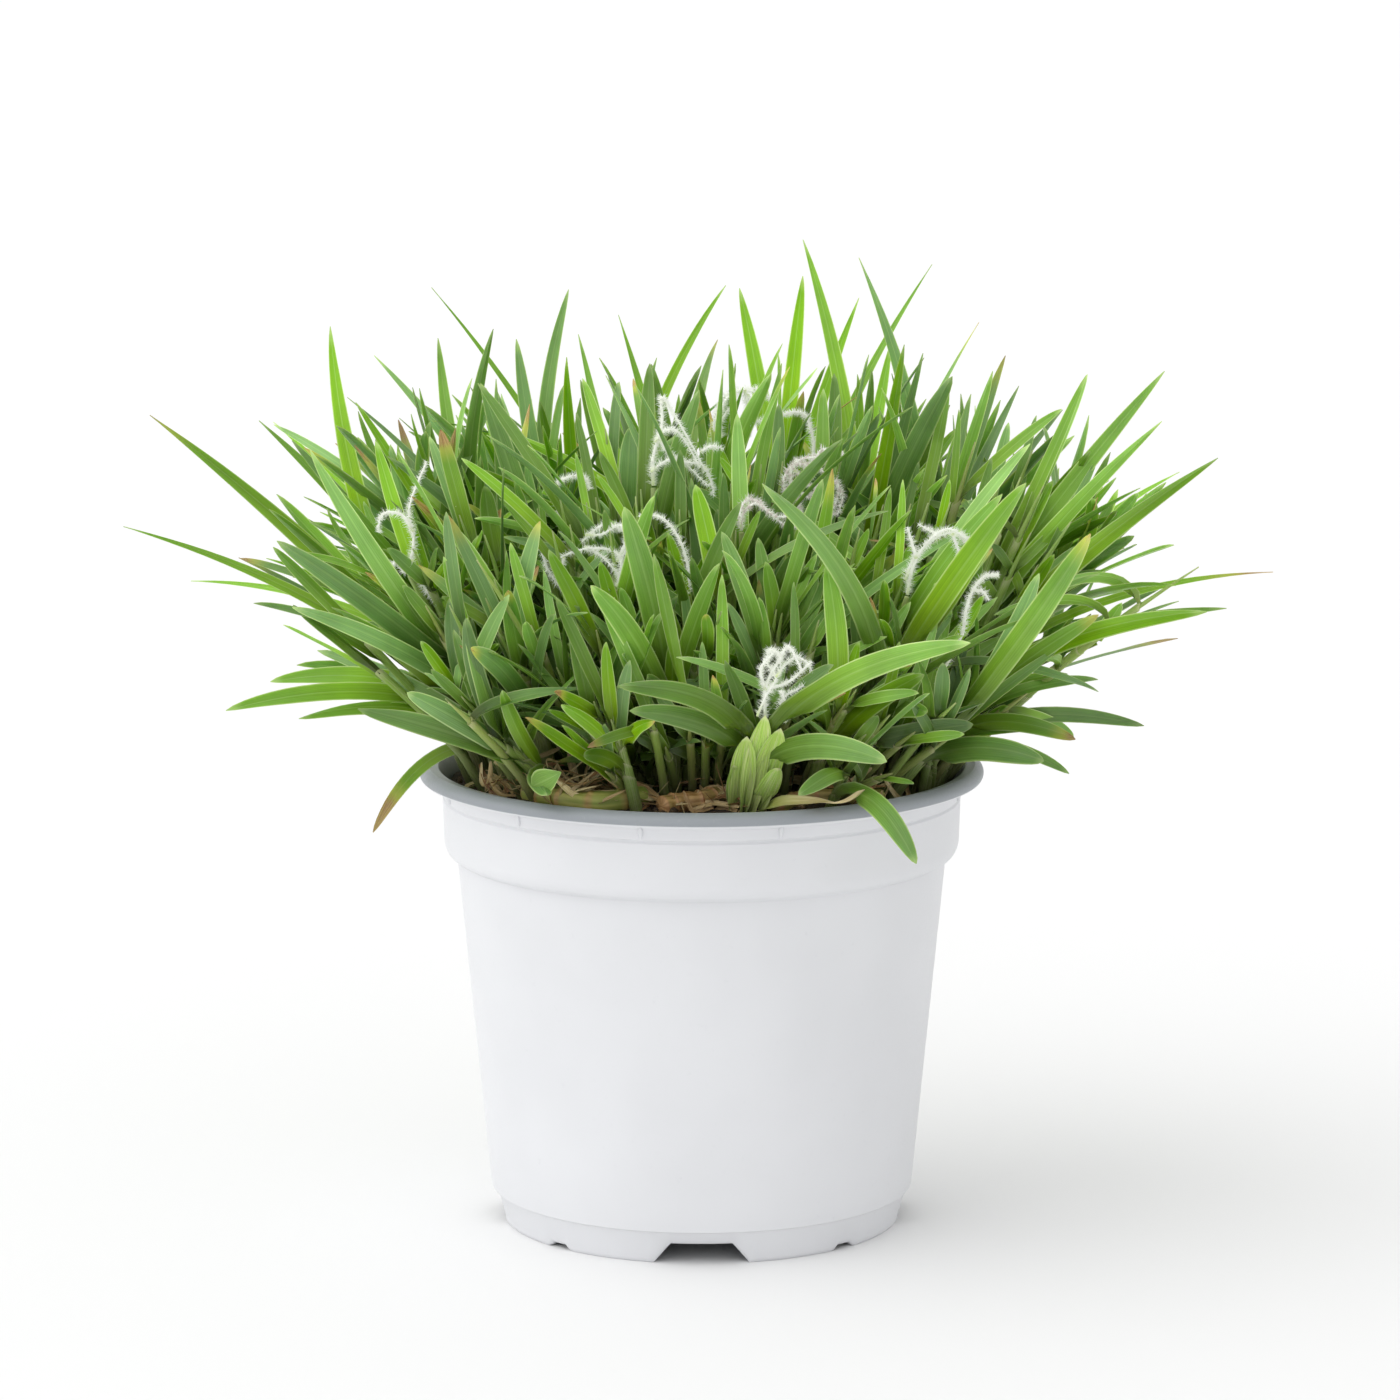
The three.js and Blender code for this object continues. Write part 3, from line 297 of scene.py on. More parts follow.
# Blades of the middle as the photograph shows them: the tip and the foot in its pixels, how wide the
# blade is in pixels, how far along Y its tip and its foot lie, and how blue-green it is.
PHOTO_SIZE = 1400
PIXELS_PER_MM = 4.34
SEEN_ROOTS = 53
KEPT_ROOM = 7
SEEN_BLADES = [
    ((477, 382), (586, 538), 17, 8, -14, 0.15),
    ((582, 377), (621, 493), 14, 25, 0, 0.2),
    ((576, 411), (598, 519), 10, 5, -8, 0.4),
    ((618, 381), (607, 450), 11, 25, 12, 0.7),
    ((633, 377), (644, 412), 7, 30, 22, 0.5),
    ((650, 362), (642, 511), 16, 10, -6, 0.5),
    ((575, 451), (589, 524), 8, -8, -14, 0.3),
    ((599, 450), (637, 519), 13, 0, -8, 0.4),
    ((596, 473), (637, 518), 8, -12, -16, 0.2),
    ((680, 448), (680, 531), 12, -10, -14, 0.3),
    ((604, 508), (612, 552), 10, -22, -24, 0.4),
    ((460, 457), (573, 546), 12, -14, -20, 0.3),
    ((498, 497), (556, 552), 9, -22, -26, 0.3),
    ((473, 518), (563, 519), 9, -20, -16, 0.8),
    ((484, 484), (490, 556), 20, -10, -16, 0.2),
    ((440, 428), (465, 536), 16, 0, -12, 0.3),
    ((447, 522), (500, 600), 16, -26, -30, 0.2),
    ((510, 541), (537, 645), 12, -34, -36, 0.3),
    ((506, 549), (505, 650), 10, -30, -34, 0.2),
    ((631, 425), (622, 499), 18, 12, 4, 0.9),
    ((539, 484), (541, 530), 6, -6, -10, 0.6),
    ((739, 418), (733, 538), 12, -8, -18, 0.1),
    ((723, 471), (725, 540), 13, -14, -18, 0.95),
    ((779, 402), (781, 483), 13, 6, 0, 0.6),
    ((757, 427), (776, 460), 8, 10, 4, 0.1),
    ((837, 464), (788, 550), 11, -14, -22, 0.6),
    ((695, 483), (722, 590), 18, -22, -30, 0.1),
    ((761, 509), (735, 552), 9, -22, -24, 0.2),
    ((796, 551), (772, 590), 14, -28, -28, 0.3),
    ((869, 527), (856, 550), 10, -22, -22, 0.3),
    ((891, 486), (880, 590), 10, -14, -24, 0.2),
    ((903, 478), (902, 590), 9, -18, -26, 0.3),
    ((919, 460), (906, 525), 8, 0, -8, 0.4),
    ((832, 438), (829, 470), 8, 8, 4, 0.2),
    ((834, 372), (839, 478), 15, 30, 14, 0.4),
    ((837, 516), (879, 526), 13, -6, -4, 0.95),
    ((717, 455), (760, 486), 10, -2, -6, 0.3),
    ((715, 441), (736, 448), 8, 4, 2, 0.2),
    ((758, 536), (774, 630), 14, -30, -34, 0.9),
    ((721, 530), (766, 663), 18, -32, -38, 0.6),
    ((510, 593), (457, 714), 16, -46, -46, 0.7),
    ((467, 616), (500, 747), 16, -56, -50, 0.75),
    ((443, 555), (468, 650), 12, -36, -36, 0.5),
    ((553, 691), (599, 718), 14, -62, -54, 0.1),
    ((682, 570), (694, 660), 12, -36, -38, 0.95),
    ((620, 586), (638, 640), 13, -36, -36, 0.4),
    ((548, 548), (600, 650), 17, -38, -40, 0.1),
    ((543, 568), (563, 686), 10, -36, -40, 0.8),
    ((440, 596), (492, 618), 12, -30, -34, 0.2),
    ((722, 573), (722, 742), 13, -44, -48, 0.2),
    ((726, 601), (762, 676), 12, -38, -38, 0.9),
    ((765, 560), (780, 630), 16, -34, -34, 0.4),
    ((794, 580), (797, 690), 10, -44, -46, 0.5),
    ((831, 603), (797, 653), 10, -40, -38, 0.6),
    ((818, 572), (786, 632), 20, -30, -30, 0.9),
    ((853, 605), (864, 676), 13, -36, -36, 0.7),
    ((881, 611), (821, 627), 18, -28, -28, 0.85),
    ((937, 581), (912, 648), 13, -38, -36, 0.3),
    ((920, 693), (849, 707), 13, -62, -46, 0.6),
    ((912, 704), (939, 748), 12, -52, -44, 0.9),
    ((879, 714), (856, 748), 13, -48, -46, 0.6),
    ((273, 424), (411, 506), 10, 40, 10, 0.7),
    ((239, 558), (352, 588), 9, 0, -12, 0.8),
    ((272, 546), (345, 625), 12, -46, -36, 0.5),
    ((292, 604), (360, 660), 11, -50, -38, 0.3),
    ((363, 500), (382, 553), 9, 6, 0, 0.6),
    ((345, 509), (412, 538), 8, 14, 4, 0.7),
    ((397, 450), (411, 480), 8, 24, 18, 0.5),
    ((383, 458), (448, 501), 11, 20, 8, 0.4),
    ((429, 435), (461, 527), 12, 4, -8, 0.6),
    ((446, 510), (457, 625), 12, -34, -40, 0.8),
    ((401, 584), (434, 625), 14, -34, -34, 0.3),
    ((386, 547), (420, 569), 14, -20, -20, 0.6),
    ((959, 408), (958, 500), 8, 16, 4, 0.5),
    ((1009, 421), (995, 500), 11, 14, 4, 0.85),
    ((1063, 408), (970, 463), 12, 10, 4, 0.3),
    ((1037, 414), (1026, 471), 9, 20, 12, 0.6),
    ((1088, 373), (1036, 506), 12, 20, 0, 0.5),
    ((1098, 456), (1061, 541), 9, 6, -8, 0.6),
    ((1110, 480), (1043, 503), 9, 20, 10, 0.6),
    ((1016, 494), (938, 620), 17, -44, -40, 0.2),
    ((949, 385), (923, 524), 12, 10, -8, 0.1),
    ((950, 478), (945, 523), 9, -8, -10, 0.4),
    ((966, 500), (1014, 498), 10, -4, -2, 0.9),
    ((1069, 518), (1023, 553), 10, 0, -6, 0.5),
    ((935, 582), (938, 606), 6, -40, -38, 0.5),
    ((992, 456), (975, 540), 10, -6, -14, 0.4),
    ((590, 690), (460, 716), 16, -50, -58, 0.85),
    ((586, 748), (652, 728), 11, -66, -56, 0.4),
    ((547, 709), (592, 735), 8, -58, -52, 0.3),
    ((975, 724), (874, 745), 20, -46, -44, 0.95),
    ((915, 784), (880, 781), 7, -62, -54, 0.4),
    ((1100, 692), (952, 657), 14, -16, -30, 0.9),
    ((943, 661), (944, 718), 15, -46, -46, 0.95),
    ((1075, 737), (1012, 708), 12, -16, -24, 0.4),
    ((966, 734), (903, 745), 11, -50, -46, 0.5),
    ((833, 610), (815, 640), 9, -46, -44, 0.7),
    ((600, 560), (617, 618), 14, -40, -38, 0.2),
    ((420, 640), (452, 690), 12, -50, -44, 0.2),
    ((430, 668), (472, 712), 10, -54, -48, 0.6),
    ((620, 640), (590, 700), 10, -52, -50, 0.3),
    ((655, 690), (690, 742), 13, -54, -50, 0.4),
    ((604, 722), (612, 780), 12, -58, -56, 0.5),
    ((640, 716), (668, 760), 11, -52, -48, 0.2),
    ((702, 640), (706, 742), 10, -50, -50, 0.6),
    ((860, 640), (838, 720), 14, -46, -44, 0.2),
    ((900, 640), (880, 730), 11, -48, -46, 0.3),
]

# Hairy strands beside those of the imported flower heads: how far along Y they lie, and their points in
# the photograph's pixels.
SEEN_STRANDS = {
    "flower_middle": (-7, [
        [(705, 466), (711, 482), (714, 496)],
        [(651, 472), (664, 462), (678, 458), (692, 470), (708, 486)],
        [(655, 442), (664, 431), (675, 430), (686, 442), (700, 468)],
        [(700, 452), (712, 446), (724, 449)],
    ]),
    "flower_tangle": (-9, [
        [(798, 530), (795, 512), (786, 497), (784, 479), (792, 466), (803, 464), (812, 473), (805, 485)],
        [(803, 464), (816, 466), (828, 476), (839, 487), (842, 501), (836, 515), (827, 508)],
        [(812, 474), (816, 458), (823, 449), (834, 458), (843, 452)],
        [(786, 497), (798, 492), (809, 497), (817, 485)],
        [(795, 512), (806, 520), (812, 528)],
    ]),
    "flower_wave": (-21, [
        [(741, 527), (740, 511), (748, 499), (760, 503), (774, 517), (789, 527), (803, 521)],
    ]),
    "flower_near_left": (-24, [
        [(585, 547), (600, 555), (614, 569), (623, 583)],
        [(585, 535), (603, 534), (616, 526), (626, 528), (627, 546), (621, 562), (624, 578)],
        [(540, 545), (545, 562), (553, 578), (565, 592)],
    ]),
    "flower_back": (24, [
        [(716, 440), (714, 424), (721, 410), (727, 398), (743, 390), (761, 390), (772, 403)],
        [(721, 438), (722, 420), (730, 408)],
        [(743, 421), (756, 422), (766, 418)],
        [(748, 394), (748, 418)],
    ]),
    "flower_front": (-61, [
        [(757, 716), (766, 696), (776, 677), (768, 664), (769, 650), (778, 653), (781, 668)],
        [(776, 677), (787, 663), (797, 657), (808, 664), (813, 676)],
        [(779, 714), (784, 697), (800, 688), (811, 677)],
        [(785, 722), (786, 705), (781, 690)],
    ]),
    "flower_left": (-18, [
        [(413, 560), (404, 572), (396, 562), (390, 566)],
        [(414, 568), (426, 590), (438, 604)],
    ]),
    "flower_right": (-32, [
        [(905, 580), (913, 560), (926, 545), (942, 535), (958, 533), (966, 545)],
        [(942, 535), (931, 531), (918, 524)],
        [(958, 533), (972, 540)],
    ]),
}
SEEN_HEADS = {
    "flower_small_left": (-4, [[(556, 500), (558, 484), (569, 477), (584, 477), (590, 489)]]),
    "flower_small_right": (20, [[(814, 450), (811, 430), (806, 416), (795, 412), (783, 415)]]),
    "flower_low_right": (-40, [
        [(962, 634), (966, 610), (973, 590), (985, 576), (999, 575)],
        [(973, 590), (983, 592), (989, 600)],
    ]),
}


# Small tools

def mix(a, b, share):
    return a + (b - a) * share


def smooth(share):
    """0 up to 0, 1 from 1 on, and an even S between them."""
    s = np.clip(share, 0, 1)
    return s * s * (3 - 2 * s)


def unit(v):
    return v / np.maximum(np.linalg.norm(v, axis=-1, keepdims=True), 1e-12)


def point(*numbers):
    return np.array(numbers, dtype=float)


def column(values):
    return np.asarray(values, dtype=float)[..., None]


def bezier(a, b, c, t):
    t = column(t)
    return (1 - t) ** 2 * a + 2 * t * (1 - t) * b + t**2 * c


def bezier_direction(a, b, c, t):
    t = column(t)
    return unit((1 - t) * (b - a) + t * (c - b))


def multiply_32(a, b):
    return (a * b) & 0xFFFFFFFF


def random_from(seed):
    """A row of seeded numbers from 0 to 1, in 32-bit whole-number steps."""
    state = seed & 0xFFFFFFFF

    def draw():
        nonlocal state
        state = (state + 0x6D2B79F5) & 0xFFFFFFFF
        t = multiply_32(state ^ (state >> 15), state | 1)
        t ^= (t + multiply_32(t ^ (t >> 7), t | 61)) & 0xFFFFFFFF
        return (t ^ (t >> 14)) / 4294967296

    return draw


def turned(v, axis, angle):
    return (
        v * math.cos(angle)
        + np.cross(axis, v) * math.sin(angle)
        + axis * np.dot(axis, v) * (1 - math.cos(angle))
    )


def seen_point(across, down, depth):
    """The place in millimetres that the photograph shows at a pixel, at a given distance along Y."""
    tilt = math.radians(CAMERA["down"])
    focal = CAMERA["lens"] / 36 * PHOTO_SIZE
    x, y, z = CAMERA["place"]
    up = (PHOTO_SIZE / 2 - down) / focal
    away = depth - y
    rise = away * (up * math.cos(tilt) - math.sin(tilt)) / (math.cos(tilt) + up * math.sin(tilt))
    range_ = away * math.cos(tilt) - rise * math.sin(tilt)
    return point(x + (across - PHOTO_SIZE / 2) / focal * range_, depth, z + rise)


def seen_at(points):
    """The pixels of the photograph at which places in millimetres show, and how far off they are."""
    tilt = math.radians(CAMERA["down"])
    focal = CAMERA["lens"] / 36 * PHOTO_SIZE
    away = points - np.array(CAMERA["place"])
    far = away[..., 1] * math.cos(tilt) - away[..., 2] * math.sin(tilt)
    up = away[..., 1] * math.sin(tilt) + away[..., 2] * math.cos(tilt)
    return np.stack([PHOTO_SIZE / 2 + away[..., 0] / far * focal, PHOTO_SIZE / 2 - up / far * focal, far], -1)


def curve_through(points, steps):
    """Points and directions along a smooth curve through the given points."""
    p = np.array(points, dtype=float)
    p = np.vstack([2 * p[0] - p[1], p, 2 * p[-1] - p[-2]])
    spans = np.linalg.norm(np.diff(p, axis=0), axis=1) ** 0.5
    where = []
    for t in np.linspace(0, 1, steps + 1):
        s = min(t * (len(p) - 3), len(p) - 3 - 1e-9)
        i = int(s)
        w = s - i
        d0, d1, d2 = spans[i : i + 3]
        x0, x1, x2, x3 = p[i : i + 4]
        t1 = ((x1 - x0) / d0 - (x2 - x0) / (d0 + d1) + (x2 - x1) / d1) * d1
        t2 = ((x2 - x1) / d1 - (x3 - x1) / (d1 + d2) + (x3 - x2) / d2) * d1
        c2 = -3 * x1 + 3 * x2 - 2 * t1 - t2
        c3 = 2 * x1 - 2 * x2 + t1 + t2
        where.append(x1 + t1 * w + c2 * w**2 + c3 * w**3)
    where = np.array(where)
    return where, unit(np.gradient(where, axis=0))


def frames_along(directions):
    """Two crosswise directions at each point of a line, carried along it without twist."""
    first = np.cross((0, 1, 0), directions[0])
    if np.linalg.norm(first) < 0.1:
        first = point(1, 0, 0)
    across = []
    for d in directions:
        first = unit(first - d * np.dot(first, d))
        across.append(first)
    across = np.array(across)
    return across, np.cross(directions, across)


def ring_along(directions, sides):
    """A circle of unit steps round each point of a line."""
    across, up = frames_along(directions)
    angle = np.linspace(0, 2 * math.pi, sides, endpoint=False)
    return angle, across[:, None] * column(np.cos(angle)) + up[:, None] * column(np.sin(angle))


def round_to_back(angle):
    """Map numbers that run from one side of a tube round to the other and back."""
    return 1 - np.abs(angle / math.pi - 1)[None, :]


def round_axis(r, angle, z):
    """Points at a radius, an angle and a height round an upright axis."""
    x = r * np.cos(angle)
    return np.stack([x, r * np.sin(angle), np.broadcast_to(z, x.shape)], axis=-1)


def placed(name, data):
    """A new object in the scene."""
    thing = bpy.data.objects.new(name, data)
    bpy.context.scene.collection.objects.link(thing)
    return thing


def solid_points(node):
    """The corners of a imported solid, in millimetres."""
    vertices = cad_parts[node].data.vertices
    flat = np.empty(3 * len(vertices))
    vertices.foreach_get("co", flat)
    return flat.reshape(-1, 3) / MM


class Skin:
    """The points, faces, map coordinates and tints of one piece, gathered before its mesh is made."""

    def __init__(self):
        self.points, self.maps, self.tints = [], [], []
        self.faces, self.kinds = [], []
        self.count = 0

    def add(self, points, maps, tint, faces, kind=0):
        points = np.asarray(points, dtype=float).reshape(-1, 3)
        self.points.append(points)
        self.maps.append(np.broadcast_to(maps, (len(points), 2)))
        self.tints.append(np.broadcast_to(tint, (len(points), 4)))
        for group in faces:
            self.faces += (np.asarray(group) + self.count).tolist()
            self.kinds += [kind] * len(group)
        self.count += len(points)

    def loft(self, rings, across, along, tint, kind=0):
        """A closed skin through rings of points, with its map coordinates across and along it."""
        steps, sides = rings.shape[:2]
        i = np.arange(steps - 1)[:, None] * sides
        j = np.arange(sides)[None, :]
        k = (j + 1) % sides
        quads = np.stack([i + j, i + k, i + k + sides, i + j + sides], axis=-1).reshape(-1, 4)
        caps = np.stack([j[0, ::-1], j[0] + (steps - 1) * sides])
        shape = (steps, sides)
        maps = np.stack([np.broadcast_to(across, shape), np.broadcast_to(column(along), shape)], axis=-1)
        maps = maps.reshape(-1, 2)
        if np.ndim(tint) == 2:
            tint = np.repeat(tint, sides, axis=0)
        self.add(rings, maps, tint, [quads, caps], kind)

    def piece(self, name, materials, replaced=(), crease=60):
        mesh = bpy.data.meshes.new(name)
        mesh.from_pydata(np.concatenate(self.points) * MM, [], self.faces)
        for made in materials:
            mesh.materials.append(made)
        mesh.polygons.foreach_set("material_index", self.kinds)
        corners = np.empty(len(mesh.loops), dtype=np.int32)
        mesh.loops.foreach_get("vertex_index", corners)
        maps = mesh.uv_layers.new(name="map")
        maps.data.foreach_set("uv", np.concatenate(self.maps)[corners].astype(np.float32).ravel())
        tints = mesh.color_attributes.new(name="tint", type="FLOAT_COLOR", domain="POINT")
        tints.data.foreach_set("color", np.concatenate(self.tints).astype(np.float32).ravel())
        mesh.shade_smooth()
        mesh.set_sharp_from_angle(angle=math.radians(crease))
        thing = placed(name, mesh)
        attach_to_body(thing, "root")
        if replaced:
            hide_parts(*replaced)
        return thing


def tube(skin, line, directions, radii, sides, tint, along=None, kind=0):
    """A closed tube along a line."""
    angle, ring = ring_along(directions, sides)
    share = np.linspace(0, 1, len(line)) if along is None else along
    skin.loft(line[:, None] + ring * column(column(radii)), round_to_back(angle), share, tint, kind)


# Materials

def tone(red, green, blue):
    """A colour as seen on a screen, from 0 to 255, turned into light."""
    seen = np.array([red, green, blue]) / 255
    light = np.where(seen <= 0.04045, seen / 12.92, ((seen + 0.055) / 1.055) ** 2.4)
    return (*light.tolist(), 1)


class Surface:
    """A material's node tree, with short calls for its nodes."""

    def __init__(self, name, roughness):
        self.material = bpy.data.materials.new(name)
        self.material.use_nodes = True
        self.tree = self.material.node_tree
        self.shader = self.tree.nodes["Principled BSDF"]
        self.shader.inputs["Roughness"].default_value = roughness

    def feed(self, socket, value):
        if isinstance(value, bpy.types.NodeSocket):
            self.tree.links.new(value, socket)
        elif value is not None:
            socket.default_value = value

    def node(self, kind, values=(), **settings):
        made = self.tree.nodes.new("ShaderNode" + kind)
        for name, value in settings.items():
            setattr(made, name, value)
        for socket, value in dict(values).items():
            self.feed(made.inputs[socket], value)
        return made

    def math(self, operation, a, b=None, c=None):
        made = self.node("Math", operation=operation)
        for socket, value in zip(made.inputs, (a, b, c)):
            self.feed(socket, value)
        return made.outputs[0]

    def blend(self, factor, a, b, how="MIX"):
        made = self.node("MixRGB", {"Fac": factor, "Color1": a, "Color2": b}, blend_type=how)
        return made.outputs[0]

    def range(self, value, low, high, start=0.0, end=1.0):
        values = {"Value": value, "From Min": low, "From Max": high, "To Min": start, "To Max": end}
        return self.node("MapRange", values, interpolation_type="SMOOTHSTEP").outputs[0]

    def noise(self, scale, detail=3.0, where=None, rough=0.5):
        values = {"Vector": where, "Scale": scale, "Detail": detail, "Roughness": rough}
        return self.node("TexNoise", values).outputs[0]

    def place(self):
        return self.node("TexCoord").outputs["Object"]

    def height(self):
        return self.node("SeparateXYZ", {"Vector": self.place()}).outputs[2]

    def map(self):
        """The map coordinates: across the piece, and along it."""
        uv = self.node("UVMap", uv_map="map").outputs[0]
        parts = self.node("SeparateXYZ", {"Vector": uv})
        return parts.outputs[0], parts.outputs[1]

    def tint(self):
        """The four numbers that each piece of the plant carries in its tint."""
        made = self.node("Attribute", attribute_name="tint")
        parts = self.node("SeparateColor", {"Color": made.outputs["Color"]})
        return (*parts.outputs[:3], made.outputs["Alpha"])

    def ribs(self, across, count):
        """Even lines along a leaf, from -1 to 1."""
        return self.math("SINE", self.math("MULTIPLY", across, 2 * math.pi * count))

    def streaks(self, values, scales, detail=4.0, rough=0.5):
        """Noise over the given numbers, each times its own scale."""
        parts = [self.math("MULTIPLY", value, scale) for value, scale in zip(values, scales)]
        where = self.node("CombineXYZ", dict(zip("XYZ", parts))).outputs[0]
        return self.noise(1.0, detail, where, rough)

    def bump(self, height, strength, distance):
        values = {"Height": height, "Strength": strength, "Distance": distance * MM}
        self.feed(self.shader.inputs["Normal"], self.node("Bump", values).outputs[0])

    def shaded(self, colour, level):
        """A colour made lighter or darker by a level round 1."""
        grey = self.node("CombineColor", {"Red": level, "Green": level, "Blue": level}).outputs[0]
        return self.blend(1.0, colour, grey, "MULTIPLY")

    def colour(self, value):
        self.feed(self.shader.inputs["Base Color"], value)

    def lets_light_through(self, weight, radius, scale):
        """Light passes a little way into the surface; scale is in millimetres."""
        self.shader.inputs["Subsurface Weight"].default_value = weight
        self.shader.inputs["Subsurface Radius"].default_value = radius
        self.shader.inputs["Subsurface Scale"].default_value = scale * MM


def leaf_material():
    """Tint: how blue-green, how light, how far the tip has dried, and a number of the blade's own."""
    s = Surface("leaf", 0.42)
    across, along = s.map()
    blue, light, dry, own = s.tint()
    off_middle = s.math("ABSOLUTE", s.math("MULTIPLY_ADD", across, 2, -1))
    fresh = s.blend(s.range(along, 0.2, 0.9), tone(148, 188, 8), tone(116, 164, 14))
    cool = s.blend(s.range(along, 0.1, 0.8), tone(112, 156, 60), tone(122, 158, 96))
    green = s.blend(blue, fresh, cool)
    green = s.blend(s.range(along, 0.0, 0.2, 0.7, 0.0), green, tone(196, 214, 126))
    veins = s.ribs(across, 11)
    grain = s.streaks((across, along, own), (22, 2.4, 40))
    darker = s.blend(1.0, green, tone(206, 214, 190), "MULTIPLY")
    green = s.blend(s.range(veins, -1, 1, 0.0, 0.3), green, darker)
    green = s.blend(s.range(grain, 0.35, 0.7, 0.0, 0.5), green, darker)
    green = s.blend(s.range(off_middle, 0.03, 0.12, 0.22, 0.0), green, tone(170, 204, 120))
    green = s.blend(s.range(off_middle, 0.82, 0.98, 0.0, 0.6), green, tone(200, 222, 150))
    green = s.blend(s.range(along, 0.93, 1.0, 0.0, 0.5), green, tone(190, 212, 140))
    dried = s.math("ADD", along, s.math("MULTIPLY_ADD", grain, 0.12, -0.06))
    dried = s.math("SUBTRACT", dried, s.math("SUBTRACT", 1.0, dry))
    straw = s.blend(s.range(grain, 0.4, 0.65), tone(196, 168, 112), tone(140, 98, 54))
    has_dried = s.range(dry, 0.0, 0.01)
    yellowed = s.math("MULTIPLY", s.range(dried, -0.14, 0.02, 0.0, 0.75), has_dried)
    green = s.blend(yellowed, green, tone(190, 186, 84))
    green = s.blend(s.math("MULTIPLY", s.range(dried, -0.02, 0.04), has_dried), green, straw)
    blotch = s.range(s.noise(0.07 / MM, 2.0, s.place()), 0.3, 0.7, 0.88, 1.1)
    # Painted shade: each blade darkens towards its foot by the stem and low down near the soil, where the
    # clump shades it.
    painted_shade_near_stem = s.range(along, 0.0, 0.6, 0.32, 1.08)
    painted_shade_near_soil = s.range(s.height(), 108 * MM, 156 * MM, 0.66, 1.05)
    green = s.shaded(green, s.math("MULTIPLY", painted_shade_near_stem, painted_shade_near_soil))
    s.colour(s.shaded(green, s.math("MULTIPLY", light, blotch)))
    s.feed(s.shader.inputs["Roughness"], s.range(grain, 0.3, 0.7, 0.3, 0.44))
    s.shader.inputs["Specular IOR Level"].default_value = 0.36
    s.bump(s.math("ADD", s.math("MULTIPLY", veins, 0.5), grain), 0.3, 0.06)
    s.lets_light_through(0.2, (0.6, 1.0, 0.1), 0.7)
    return s.material


def sheath_material():
    """Tint: how straw-coloured, how light, unused, and a number of the sheath's own."""
    s = Surface("sheath", 0.5)
    across, along = s.map()
    old, light, _, own = s.tint()
    ribs = s.ribs(across, 9)
    streaks = s.streaks((across, along, own), (18, 2.0, 30))
    green = s.blend(s.range(along, 0.0, 0.8), tone(190, 206, 120), tone(150, 188, 74))
    green = s.blend(s.range(ribs, -1, 1, 0.0, 0.4), green, tone(136, 168, 82))
    green = s.blend(s.range(streaks, 0.45, 0.7, 0.0, 0.5), green, tone(206, 214, 160))
    rim = s.range(along, 0.93, 1.0, 0.0, 0.6)
    green = s.blend(rim, green, tone(214, 216, 170))
    straw = s.blend(s.range(streaks, 0.4, 0.65), tone(196, 168, 112), tone(128, 92, 52))
    green = s.blend(s.math("MULTIPLY", old, s.range(streaks, 0.2, 0.5)), green, straw)
    # Painted shade: sheaths and stem cores darken low down near the soil, where the clump shades them.
    green = s.shaded(green, s.range(s.height(), 104 * MM, 134 * MM, 0.28, 1.0))
    s.colour(s.shaded(green, light))
    s.bump(s.math("ADD", ribs, streaks), 0.4, 0.1)
    s.lets_light_through(0.3, (0.6, 1.0, 0.3), 1.0)
    return s.material


def pot_material():
    """Tint: 0 on the white outside and 1 on the grey rim and inside. From 0.86 to 1 the grey darkens: painted
    shade on the rim's outer roll, and the inside takes the same darker grey.
    """
    s = Surface("pot_plastic", 0.42)
    grey = s.tint()[0]
    where = s.place()
    fine = s.noise(1.6 / MM, 4.0, where)
    broad = s.noise(0.03 / MM, 2.0, where)
    white = s.blend(s.range(broad, 0.3, 0.7), tone(222, 223, 226), tone(226, 227, 230))
    # Painted shade: a darker grey where the tint nears 1, on the rim's outer roll; the inside takes it too.
    rim = s.blend(s.range(grey, 0.86, 1.0), tone(180, 184, 188), tone(148, 153, 158))
    colour = s.blend(s.range(grey, 0.0, 0.8), white, rim)
    scuffs = s.noise(0.5 / MM, 6.0, where, 0.7)
    colour = s.blend(s.range(scuffs, 0.6, 0.8, 0.0, 0.25), colour, tone(196, 198, 202))
    s.colour(colour)
    s.feed(s.shader.inputs["Roughness"], s.range(fine, 0.3, 0.7, 0.36, 0.5))
    s.bump(s.math("ADD", fine, s.math("MULTIPLY", scuffs, 0.5)), 0.12, 0.06)
    s.lets_light_through(0.12, (1.0, 1.0, 1.0), 2.0)
    return s.material


def soil_material():
    s = Surface("soil", 0.93)
    where = s.place()
    coarse = s.noise(0.35 / MM, 6.0, where, 0.65)
    fine = s.noise(2.2 / MM, 5.0, where, 0.7)
    colour = s.blend(s.range(coarse, 0.35, 0.68), tone(30, 22, 14), tone(68, 52, 34))
    colour = s.blend(s.range(fine, 0.62, 0.75, 0.0, 0.7), colour, tone(122, 96, 62))
    s.colour(colour)
    s.bump(s.math("ADD", coarse, s.math("MULTIPLY", fine, 0.4)), 0.9, 0.6)
    return s.material


def crumb_material():
    """Tint: from dark peat to pale grit and bark."""
    s = Surface("crumbs", 0.9)
    pale = s.tint()[0]
    where = s.place()
    fine = s.noise(1.8 / MM, 4.0, where, 0.7)
    dark = s.blend(s.range(fine, 0.35, 0.7), tone(26, 19, 12), tone(72, 54, 34))
    bark = s.blend(s.range(fine, 0.35, 0.7), tone(116, 84, 48), tone(196, 172, 132))
    s.colour(s.blend(pale, dark, bark))
    s.bump(fine, 0.7, 0.3)
    return s.material


def runner_material():
    """Tint: 0 where the skin is green and 1 where it is brown."""
    s = Surface("runner", 0.55)
    across, along = s.map()
    brown = s.tint()[0]
    streaks = s.streaks((across, along), (5, 2.5), 5.0, 0.45)
    skin = s.blend(s.range(streaks, 0.35, 0.65), tone(122, 138, 54), tone(158, 164, 84))
    bark = s.blend(s.range(streaks, 0.35, 0.65), tone(136, 94, 54), tone(192, 152, 104))
    s.colour(s.blend(brown, skin, bark))
    s.bump(streaks, 0.25, 0.15)
    s.lets_light_through(0.15, (1.0, 0.7, 0.3), 1.0)
    return s.material


